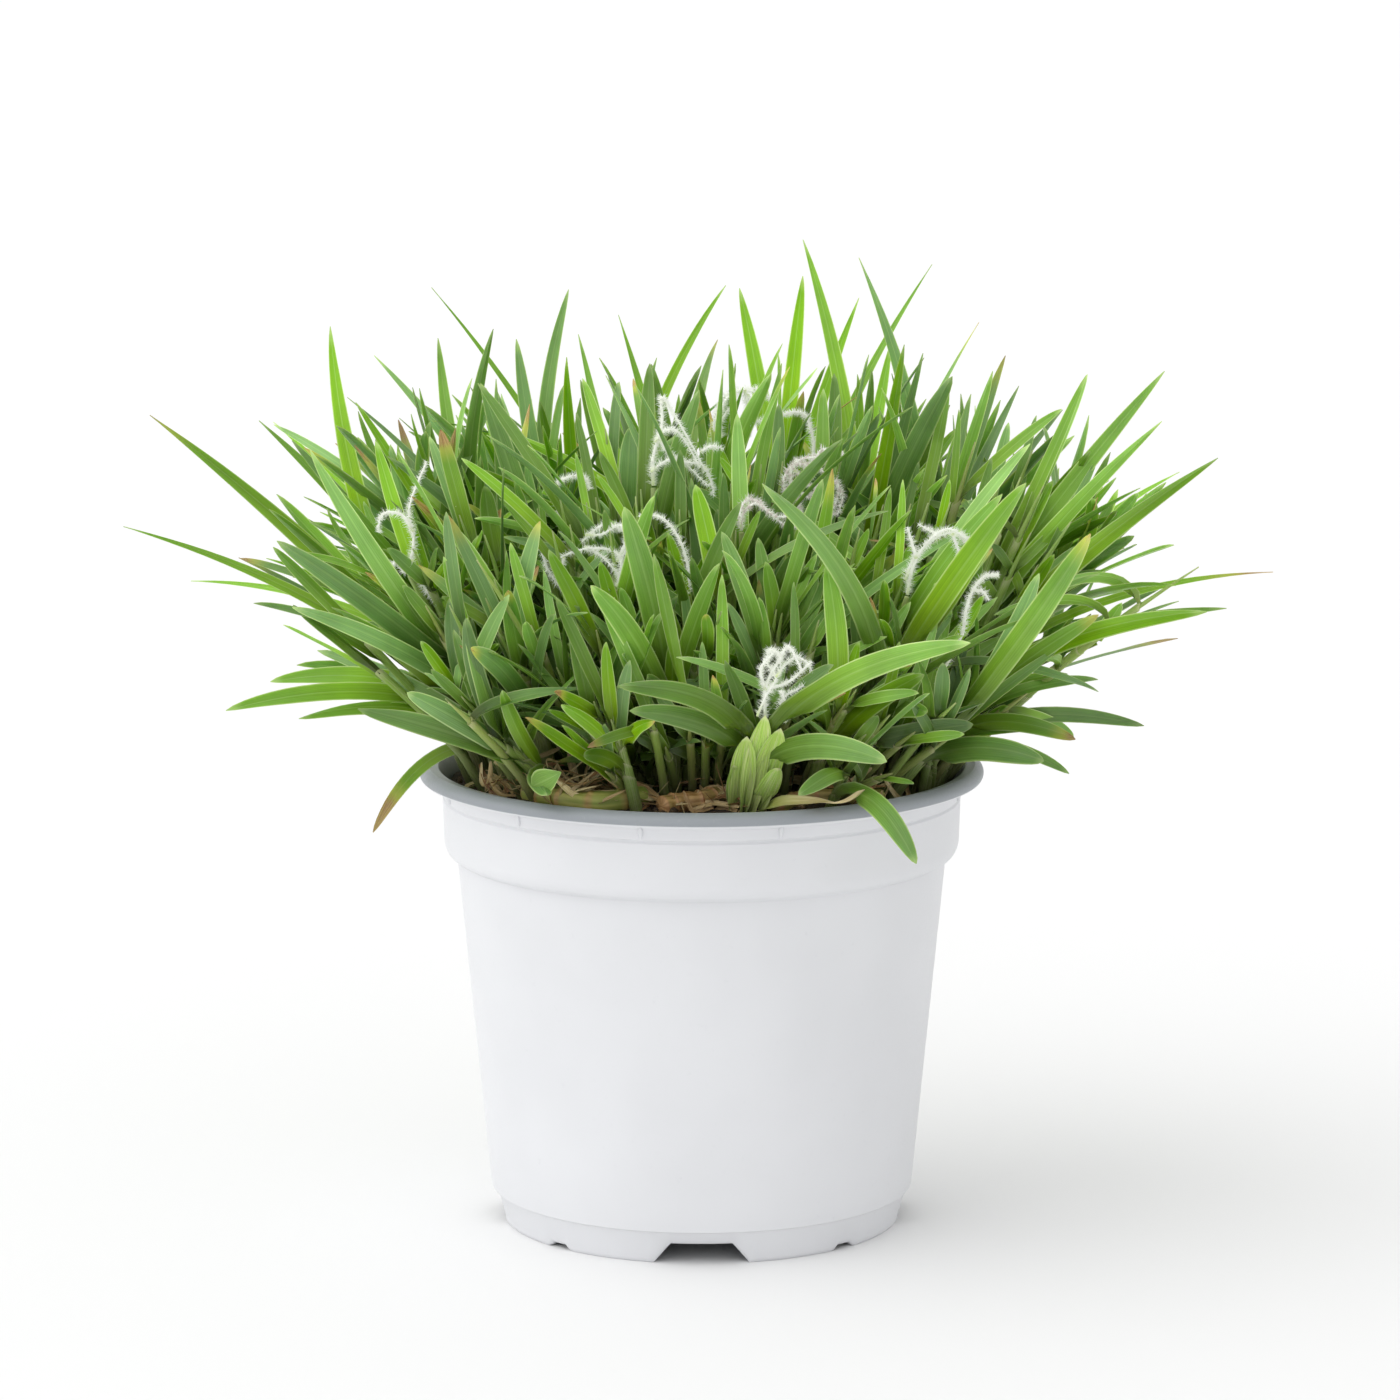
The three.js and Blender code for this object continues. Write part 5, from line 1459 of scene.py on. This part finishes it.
def make_big_sheaths():
    """The fan of broad pale sheaths round the big shoot of the front."""
    skin = Skin()
    for k, (foot, tip, width) in enumerate(BIG_SHEATHS):
        foot, tip = np.array(foot, float), np.array(tip, float)
        stem = make_stem(foot[:2], foot + (tip - foot) * 0.1, 1.2)
        along = unit(tip - foot)
        blade = blade_of(0, foot, along, tip, unit(point(0.1 * k, -1, 0.3)), width)
        blade.slender = 0.15
        blade.blue, blade.light, blade.dry, blade.own = 0.02, 1.9, 0, 0.17 * k
        blade.fold, blade.twist, blade.ripple = 0.9, 0, 5
        add_blade(skin, stem, blade, 16, 1)
    skin.piece("big_shoot_sheaths", [leaf, sheath])


for name, stems in plant.items():
    for stem in stems:
        give_looks(stem, 0.14 if name.startswith("tuft") else 0.04)
    dress(name + "_leaves", stems, replaced=[name])


make_big_sheaths()


# Flowers

STRAND_RADIUS = 0.36
HAIRS_PER_MM = 26
HAIR = dict(length=1.4, radius=0.065)


def add_hairs(skin, line, direction, purple):
    across, up = frames_along(direction)
    lengths = np.linalg.norm(np.diff(line, axis=0), axis=1)
    count = int(HAIRS_PER_MM * lengths.sum())
    where = rng.random(count) * (len(line) - 1.001)
    i = where.astype(int)
    w = column(where - i)
    base = mix(line[i], line[i + 1], w)
    angle = column(rng.random(count) * 2 * math.pi)
    away = across[i] * np.cos(angle) + up[i] * np.sin(angle)
    lean = column(rng.normal(0.35, 0.35, count))
    hair = unit(away + direction[i] * lean + 0.15 * rng.normal(size=(count, 3)))
    share = where / (len(line) - 1)
    size = HAIR["length"] * rng.uniform(0.55, 1.35, count) * (1 - 0.35 * share**2)
    side = unit(np.cross(hair, direction[i]))
    other = np.cross(hair, side)
    turn = np.array([0, 2, 4]) * math.pi / 3
    ring = side[:, None] * column(np.cos(turn)) + other[:, None] * column(np.sin(turn))
    foot = base + away * STRAND_RADIUS * 0.6
    corners = foot[:, None] + ring * HAIR["radius"]
    points = np.concatenate([corners, (foot + hair * column(size))[:, None]], axis=1)
    n = np.arange(count)[:, None] * 4
    faces = np.concatenate([n + (0, 1, 3), n + (1, 2, 3), n + (2, 0, 3), n + (2, 1, 0)])
    tint = np.stack([share + 0.15, np.full(count, purple), np.zeros(count), np.ones(count)], -1)
    skin.add(points, (0.5, 0.5), np.repeat(tint, 4, 0), [faces])


def add_strand(skin, given, purple, s, radius=STRAND_RADIUS):
    line, direction = curve_through(given, 6 * len(given))
    share = np.linspace(0, 1, len(line))
    wobble = 0.25 * np.sin(share * 23 + s)
    line = line + np.cross(direction, (0, 0, 1)) * column(wobble * share)
    radii = radius * mix(1.1, 0.5, share)
    tint = np.stack([share * 2, np.full_like(share, purple), share * 0, share * 0 + 1], -1)
    tube(skin, line, direction, radii, 6, tint)
    add_hairs(skin, line, direction, purple)


def strands_seen(given):
    """The strands of a head as points in space, a little nearer and farther than its depth."""
    depth, strands = given
    found = []
    for s, line in enumerate(strands):
        found.append([tuple(seen_point(u, v, depth + 1.5 * math.sin(u + s))) for u, v in line])
    return found


def make_flower(name, shoot, strands):
    stem = plant[shoot][0]
    foot = stem.tip + along_stem(stem, 1) * 2 * GAP
    purple = 0.6 if name in ("flower_tangle", "flower_wave") else 0.12 * rng.random()
    skin = Skin()
    for s, points in enumerate(strands):
        add_strand(skin, [tuple(foot), *points] if s == 0 else points, purple, s)
    for s, points in enumerate(strands_seen(SEEN_STRANDS.get(name, (0, [])))):
        add_strand(skin, points, purple, s, 0.7 * STRAND_RADIUS)
    skin.piece(name + "_strands", [flower_look], [name])


for name, (shoot, strands) in FLOWERS.items():
    make_flower(name, shoot, strands)
for name, given in SEEN_HEADS.items():
    skin = Skin()
    for s, points in enumerate(strands_seen(given)):
        if s == 0:
            x, y, z = points[0]
            points = [(0.9 * x, 0.9 * y, z - 12), *points]
        add_strand(skin, points, 0.1, s)
    skin.piece(name, [flower_look])


# Runners and dry leaves

def make_runner(name, radius, line):
    points = [(x, y, soil_top(x, y) + radius + GAP + 0.5 * FRONT_HEAP) for x, y in line]
    where, direction = curve_through(points, 60)
    share = np.linspace(0, 1, len(where))
    joints = (share * 5 + 0.4) % 1
    swell = 1 + 0.16 * np.exp(-((joints - 0.5) / 0.05) ** 2) - 0.05 * np.sin(joints * 2 * math.pi)
    ends = np.minimum(1, np.minimum(share, 1 - share) / 0.03 + 0.3)
    brown = RUNNER_BROWN[name] + 0.6 * smooth(np.abs(joints - 0.5) / -0.12 + 1.3) + 0.2 * np.sin(share * 4)
    skin = Skin()
    tint = np.stack([np.clip(brown, 0, 1), share * 0, share * 0, share * 0 + 1], -1)
    tube(skin, where, direction, 1.15 * radius * swell * ends, 20, tint, share)
    skin.piece(name + "_stem", [runner_look], [name])


def add_strip(skin, line, direction, half, up, tint, curl=0.3):
    """A thin dry strip with curled sides along a line."""
    side = unit(np.cross(direction, up))
    normal = np.cross(side, direction)
    x, is_top = across_section(PLAIN)
    thick = np.where(is_top & (np.abs(x) < 1), 0.05, -0.05) / np.maximum(half.max(), 0.3)
    lift = np.abs(x) ** 1.5 * curl + thick
    half = column(half)
    rings = line[:, None] + side[:, None] * (half * x)[..., None] + normal[:, None] * (half * lift)[..., None]
    skin.loft(rings, (1 + x) / 2, np.linspace(0, 1, len(line)), tint)


def make_dry_leaf():
    line, direction = curve_through(DRY_LEAF, 40)
    share = np.linspace(0, 1, len(line))
    half = 1.6 * (1 - 0.62 * share) * np.minimum(1, (1 - share) / 0.08 + 0.15)
    turn = column(0.9 * np.sin(share * 5))
    up = unit(point(0, 0, 1) * np.cos(turn) + point(0, -1, 0) * np.sin(turn))
    skin = Skin()
    add_strip(skin, line, direction, half, up, (0.15, 1.0, 0.9, 0.3), 0.35)
    skin.piece("dry_leaf_strip", [straw_look], ["dry_leaf"])


LITTER = dict(count=150, length=(6, 20), half=(0.25, 1.3), reach=56.5)


def make_litter():
    """Old sheath scraps and bits of straw that lie on the soil and against the stems."""
    skin = Skin()
    for _ in range(LITTER["count"]):
        r = 54 * rng.random() ** 0.4
        angle = rng.uniform(0, 2 * math.pi)
        x, y = r * math.cos(angle), r * math.sin(angle)
        heading = rng.uniform(0, 2 * math.pi)
        length = rng.uniform(*LITTER["length"])
        step = length / 10 * np.linspace(-5, 5, 11)
        bow = rng.uniform(-0.05, 0.05) * step**2
        ex, ey = math.cos(heading), math.sin(heading)
        px, py = x + ex * step - ey * bow, y + ey * step + ex * bow
        far = np.maximum(1, np.hypot(px, py) / LITTER["reach"])
        px, py = px / far, py / far
        rise = rng.uniform(0, 0.35)
        z = np.array([rough_soil(a, b) for a, b in zip(px, py)])
        z = np.maximum(z, z.mean()) + 0.6 + rise * (step - step[0]) + rng.uniform(0, 1.2)
        line = np.stack([px, py, z], -1)
        direction = unit(np.gradient(line, axis=0))
        half = rng.uniform(*LITTER["half"]) * np.sin(np.linspace(0.25, math.pi - 0.15, 11)) ** 0.6
        up = unit(point(0, 0, 1) + 0.5 * rng.normal(size=3))
        tint = (rng.random() ** 1.5, rng.uniform(0.7, 1.05), 0.0, rng.random())
        add_strip(skin, line, direction, half, up, tint, rng.uniform(0.1, 0.6))
    skin.piece("straw_litter", [straw_look])


# Bundles of fibres: the middle, how far they spread from it, and how many
FIBRE = dict(reach=(3, 9), half=(0.18, 0.9), inside=57)
FIBRES = [
    ((-32, -42, 110), (13, 9, 5), 46),
    ((-46, -32, 108), (7, 8, 3), 14),
    ((4, -50, 106.5), (8, 4, 1.8), 26),
    ((-16, -48, 107), (12, 5, 2), 14),
    ((36, -42, 107), (14, 7, 2), 14),
]


def make_fibres():
    """Torn brown sheath fibres round the feet of the front shoots."""
    skin = Skin()
    for centre, spread, count in FIBRES:
        for _ in range(count):
            middle = point(*centre) + rng.normal(size=3) * np.array(spread) * 0.5
            middle[2] = max(middle[2], rough_soil(*middle[:2]) + 0.8)
            reach = rng.uniform(*FIBRE["reach"])
            heading = unit(point(rng.normal(), 0.6 * rng.normal(), 0.45 * rng.normal()))
            bow = rng.normal(size=3) * 0.25 * reach
            out = heading * reach
            points = [middle - out + bow * 0.4, middle + bow, middle + out - bow * 0.3]
            for p in points:
                p[:2] *= min(1, FIBRE["inside"] / max(1, np.hypot(*p[:2])))
                p[2] = max(p[2], rough_soil(*p[:2]) + 0.5)
            line, direction = curve_through(points, 14)
            swell = np.sin(np.linspace(0.35, math.pi - 0.15, len(line))) ** 0.7
            half = rng.uniform(*FIBRE["half"]) * swell
            up = unit(point(0, -0.4, 1) + 0.6 * rng.normal(size=3))
            tint = (rng.random(), rng.uniform(0.55, 1.05), 0.0, rng.random())
            add_strip(skin, line, direction, half, up, tint, rng.uniform(0.2, 0.7))
    skin.piece("fibres", [straw_look])


CUT_LEAF = dict(
    foot=(-37.5, -57, 112),
    tip=(-31, -59, 115.5),
    half=[0.4, 2.0, 2.7, 2.9, 2.7, 2.3, 1.6, 0.9, 0.15],
)


def make_cut_leaf():
    """The short heart-shaped end of a cut leaf, which faces the front."""
    share = np.linspace(0, 1, len(CUT_LEAF["half"]))
    foot, tip = np.array(CUT_LEAF["foot"]), np.array(CUT_LEAF["tip"])
    line = mix(foot, tip, column(share)) + np.outer(np.sin(share * math.pi), (0, -0.8, 0))
    direction = np.tile(unit(tip - foot), (len(share), 1))
    side = unit(np.cross(direction, (0, -1, 0.2)))
    normal = np.cross(side, direction)
    x, is_top = across_section(FINE)
    half = column(np.array(CUT_LEAF["half"]))
    height = 0.08 * half * np.abs(x) ** 1.5 + np.where(is_top, 0.12, -0.12)
    rings = line[:, None] + side[:, None] * (x * half)[..., None] + normal[:, None] * height[..., None]
    skin = Skin()
    skin.loft(rings, (1 + x) / 2, 0.3 + 0.3 * share, (0.75, 1.5, 0, 0.4))
    skin.piece("cut_leaf", [leaf])


for name, (radius, line) in RUNNERS.items():
    make_runner(name, radius, line)
make_dry_leaf()
make_litter()
make_fibres()
make_cut_leaf()


# Blades of the middle, where the photograph shows them

def hides(samples, kept):
    """Whether a blade would stand in front of what the photograph shows."""
    here = seen_at(samples)
    near = np.hypot(here[:, None, 0] - kept[None, :, 0], here[:, None, 1] - kept[None, :, 1]) < KEPT_ROOM
    return int((near & (here[:, None, 2] < kept[None, :, 2])).any(axis=1).sum()) > 1


def grow_seen_blades():
    """A young shoot under each blade that was measured in the photograph."""
    grown = []
    for (u, v), (foot_u, foot_v), width, depth, foot_depth, cool in SEEN_BLADES:
        tip = seen_point(u, v, depth)
        foot = seen_point(foot_u, foot_v, foot_depth)
        root = foot[:2] * 0.72
        root = root * min(1, SEEN_ROOTS / max(1, np.hypot(*root)))
        foot[2] = max(foot[2], soil_top(*root) + 6)
        top = foot + unit(foot - point(*root, SOIL_EDGE)) * 5
        stem = make_stem(root, top, 0.7 * STEM_RADIUS)
        stem.plane = rng.uniform(0, math.pi)
        share = 0.82
        start = on_stem(stem, share)
        chord = unit(tip - start)
        along = unit(along_stem(stem, share) + chord)
        roll = rng.uniform(-0.6, 0.6)
        facing = turned(unit(point(0, -1, 0.4 + 2 * max(0, chord[1]) ** 2)), chord, roll)
        wide = width / PIXELS_PER_MM / math.cos(roll)
        blade = blade_of(share, start, along, tip, facing, wide)
        blade.cool = cool
        stem.blades = [blade]
        grown.append(stem)
    return grown


# Finer growth between the shoots

def samples_of(blade):
    return bezier(*blade_line(blade), np.linspace(0.2, 1, SAMPLES))


def stem_samples(stem):
    return on_stem(stem, np.linspace(0.1, 1, SAMPLES))


# How far growth keeps from what stands already, in the thicket and low down at its foot
ROOM = 1.1
LOW_ROOM = 0.7
SAMPLES = 9
PLACE_TRIES = 12
# The ground that each kind of young stem stands on, from front to back, and how close together
YOUNG_STEMS = dict(spots=900, reach=55, spacing=3.3, y=(-50, 99))
LOW_SHOOTS = dict(spots=2600, reach=55.5, spacing=1.9, y=(-60, -8))
LOW_BLADES = dict(reach=74, over_soil=107, over_rim=111, rim=52)
SIDE_SHOOTS = dict(spots=1400, reach=55.5, spacing=3.2, y=(-8, 99), inner=44)


def filler_blade(stem, i, n):
    """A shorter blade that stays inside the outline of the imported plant."""
    share, start, along = attach(stem, i, n)
    outward = unit(point(*start[:2], 0) + 1e-6)
    turn = stem.plane + math.pi * (i % 2) + rng.uniform(-1.2, 1.2)
    side = point(math.cos(turn), math.sin(turn), 0)
    spread = mix(0.9, 0.15, i / max(1, n - 1)) * rng.uniform(0.4, 1.5)
    direction = unit(unit(along + side * math.tan(min(spread, 1.3))) + 0.16 * outward)
    tip = start + direction * rng.uniform(20, 84 if start[1] > 12 else 60)
    excess = reach_of(tip) / (rng.uniform(0.72, 0.97) if start[1] > 12 else rng.uniform(0.5, 0.84))
    if excess > 1:
        tip = point(tip[0] / excess, tip[1] / excess, mix(SPREAD["middle"], tip[2], 1 / excess))
    low = mix(124, 112, rng.random() ** 2) + 0.35 * max(0, -30 - tip[1])
    tip[2] = max(tip[2], low)
    facing = unit(-0.6 * side + (rng.uniform(-0.8, 0.8), rng.uniform(-0.8, 0.8), 0.5))
    width = rng.uniform(2.2, 3.2) + 0.02 * np.linalg.norm(tip - start)
    return blade_of(share, start, along, tip, facing, width)


def low_blade(stem, i, n):
    """A short wide-spread blade near the soil, between the shoots of the front."""
    share, start, along = attach(stem, i, n)
    turn = rng.uniform(0, 2 * math.pi)
    side = point(math.cos(turn), math.sin(turn), 0)
    spread = rng.uniform(0.3, 1.35)
    direction = unit(along * math.cos(spread) + side * math.sin(spread))
    length = rng.uniform(13, 34)
    tip = start + direction * length
    reach = np.hypot(*tip[:2])
    if reach > LOW_BLADES["reach"]:
        tip[:2] *= LOW_BLADES["reach"] / reach
    lowest = LOW_BLADES["over_rim" if reach > LOW_BLADES["rim"] else "over_soil"]
    tip[2] = max(tip[2], lowest + rng.uniform(0, 5))
    facing = unit(-0.5 * side + (rng.uniform(-0.6, 0.6), -0.5, 0.7))
    width = rng.uniform(2, 2.8) + 0.035 * length
    return blade_of(share, start, along, tip, facing, width)


def low_stem(spot, *_):
    x, y = spot
    away = math.atan2(y, x) + rng.uniform(-1, 1)
    height = rng.uniform(7, 20)
    lean = rng.uniform(0.1, 0.6) * height
    stem = make_stem(spot, (x + lean * math.cos(away), y + lean * math.sin(away), soil_top(x, y) + height))
    stem.plane = rng.uniform(0, math.pi)
    return stem


def young_stem(spot, t, attempt):
    return tuft_stem(spot, 100 + t, t % 3, attempt)


def spots_between(roots, field):
    """Sunflower-seed spots on a field of the soil, between the given roots."""
    found = []
    front, back = field["y"]
    for i in range(field["spots"]):
        r = field["reach"] * math.sqrt((i * 0.618) % 1)
        x, y = r * math.cos(i * GOLDEN_ANGLE), r * math.sin(i * GOLDEN_ANGLE)
        near = min(math.hypot(x - a, y - b) for a, b in roots + found)
        if front < y < back and near > field["spacing"]:
            found.append((x, y))
    return found


class Thicket:
    """The growth that stands already, and which room it leaves."""

    def __init__(self, standing, shown):
        self.room = ROOM
        lines = [samples_of(blade) for stem in standing for blade in stem.blades]
        lines += [stem_samples(stem) for stem in standing]
        strands = [curve_through(points, 12)[0] for _, strands in FLOWERS.values() for points in strands]
        for given in (*SEEN_STRANDS.values(), *SEEN_HEADS.values()):
            strands += [curve_through(points, 12)[0] for points in strands_seen(given)]
        self.taken = np.concatenate(lines + strands)
        self.kept = seen_at(np.concatenate(strands + [samples_of(blade) for blade in shown]))

    def has_room(self, line, may_hide=False):
        if np.linalg.norm(self.taken[:, None] - line[None], axis=2).min() < self.room:
            return False
        return may_hide or not hides(line, self.kept)

    def add(self, line):
        self.taken = np.vstack([self.taken, line])

    def add_stems(self, spots, radii, draw):
        grown = []
        for t, spot in enumerate(spots):
            for attempt in range(PLACE_TRIES):
                stem = draw(spot, t, attempt)
                line = stem_samples(stem)
                if self.has_room(line, True):
                    stem.radius = rng.uniform(*radii)
                    stem.blades = []
                    self.add(line)
                    grown.append(stem)
                    break
        return grown

    def add_blades(self, stem, count, draw):
        for i in range(count):
            for _ in range(PLACE_TRIES):
                blade = draw(stem, i, count)
                samples = samples_of(blade)
                if self.has_room(samples):
                    stem.blades.append(blade)
                    self.add(samples)
                    break


def grow_between(seen):
    """Young shoots and more leaves that fill the plant, each kept clear of what stands already."""
    standing = [stem for stems in plant.values() for stem in stems] + seen
    shown = [blade for name in SHOOTS for blade in plant[name][0].blades[: len(SHOOTS[name]["blades"])]]
    shown += [stem.blades[0] for stem in seen]
    thicket = Thicket(standing, shown)
    roots = [stem.root for stem in standing]
    low_spots = spots_between(roots, LOW_SHOOTS)
    thicket.room = LOW_ROOM
    low = thicket.add_stems(low_spots, (0.6, 1.1), low_stem)
    for stem in low:
        thicket.add_blades(stem, int(rng.integers(4, 7)), low_blade)
    thicket.room = ROOM
    young = thicket.add_stems(spots_between(roots, YOUNG_STEMS), (0.9, 1.5), young_stem)
    for stem in young:
        thicket.add_blades(stem, int(rng.integers(4, 8)), filler_blade)
    extra = []
    for stem in standing:
        more = SimpleNamespace(**vars(stem))
        more.blades = []
        thicket.add_blades(more, 12 if stem.root[1] > 10 else 4, filler_blade)
        extra.append(more)
    thicket.room = LOW_ROOM
    rest = spots_between(roots + low_spots, SIDE_SHOOTS)
    outer = [spot for spot in rest if math.hypot(*spot) > SIDE_SHOOTS["inner"]]
    side = thicket.add_stems(outer, (0.6, 1.1), low_stem)
    for stem in side:
        thicket.add_blades(stem, 3, low_blade)
    return low + side, young, extra


def dress_in_groups(name, stems, size, steps, section=PLAIN):
    for k in range(0, len(stems), size):
        group = stems[k : k + size]
        for stem in group:
            give_looks(stem)
        dress(f"{name}_{k // size + 1:02d}", group, steps=steps, section=section)


def add_leaves_in_groups(stems, size, steps):
    """More leaves on stems that stand already."""
    for k in range(0, len(stems), size):
        skin = Skin()
        for stem in stems[k : k + size]:
            give_looks(stem)
            for blade in stem.blades:
                add_blade(skin, stem, blade, steps, 0, PLAIN)
        skin.piece(f"more_leaves_{k // size + 1:02d}", [leaf])


seen = grow_seen_blades()
low, young, extra = grow_between(seen)
dress_in_groups("middle_leaves", seen, 20, 16, FINE)
dress_in_groups("low_shoots", low, 20, 12)
dress_in_groups("undergrowth", young, 20, 14)
add_leaves_in_groups(extra, 60, 13)


# Floor, light and camera

FLOOR_REACH = 12
SKY = {"From Min": -1, "From Max": 1, "To Min": 1.3, "To Max": 0.72}


def make_floor():
    mesh = bpy.data.meshes.new("floor")
    corners = [(-1, -1), (1, -1), (1, 1), (-1, 1)]
    mesh.from_pydata([(FLOOR_REACH * x, FLOOR_REACH * y, 0) for x, y in corners], [], [(0, 1, 2, 3)])
    s = Surface("floor", 0.8)
    s.colour(s.blend(s.noise(3.0, 2.0), tone(239, 239, 239), tone(241, 241, 241)))
    mesh.materials.append(s.material)
    placed("floor", mesh)


def make_sky():
    """A white room, brighter on the left, that lights the pot and the floor from all round."""
    world = bpy.data.worlds.new("studio")
    world.use_nodes = True
    tree = world.node_tree
    where = tree.nodes.new("ShaderNodeTexCoord")
    parts = tree.nodes.new("ShaderNodeSeparateXYZ")
    level = tree.nodes.new("ShaderNodeMapRange")
    tree.links.new(where.outputs["Generated"], parts.inputs[0])
    tree.links.new(parts.outputs[0], level.inputs["Value"])
    for socket, value in SKY.items():
        level.inputs[socket].default_value = value
    tree.links.new(level.outputs[0], tree.nodes["Background"].inputs["Strength"])
    tree.nodes["Background"].inputs["Color"].default_value = (1, 1, 1, 1)
    bpy.context.scene.world = world


def add_sun(name, toward, strength, spread):
    lamp = bpy.data.lights.new(name, "SUN")
    lamp.energy = strength
    lamp.angle = math.radians(spread)
    placed(name, lamp).rotation_euler = Vector(toward).to_track_quat("-Z", "Y").to_euler()


make_floor()
make_sky()
add_sun("key", (1, 0.4, -1.6), 0.62, 60)
bpy.context.scene.view_settings.view_transform = "Standard"

lens = bpy.data.cameras.new("camera")
lens.lens = CAMERA["lens"]
lens.sensor_width = 36
lens.clip_end = 40
camera = placed("camera", lens)
camera.location = np.array(CAMERA["place"]) * MM
camera.rotation_euler = (math.radians(90 - CAMERA["down"]), 0, 0)
bpy.context.scene.camera = camera
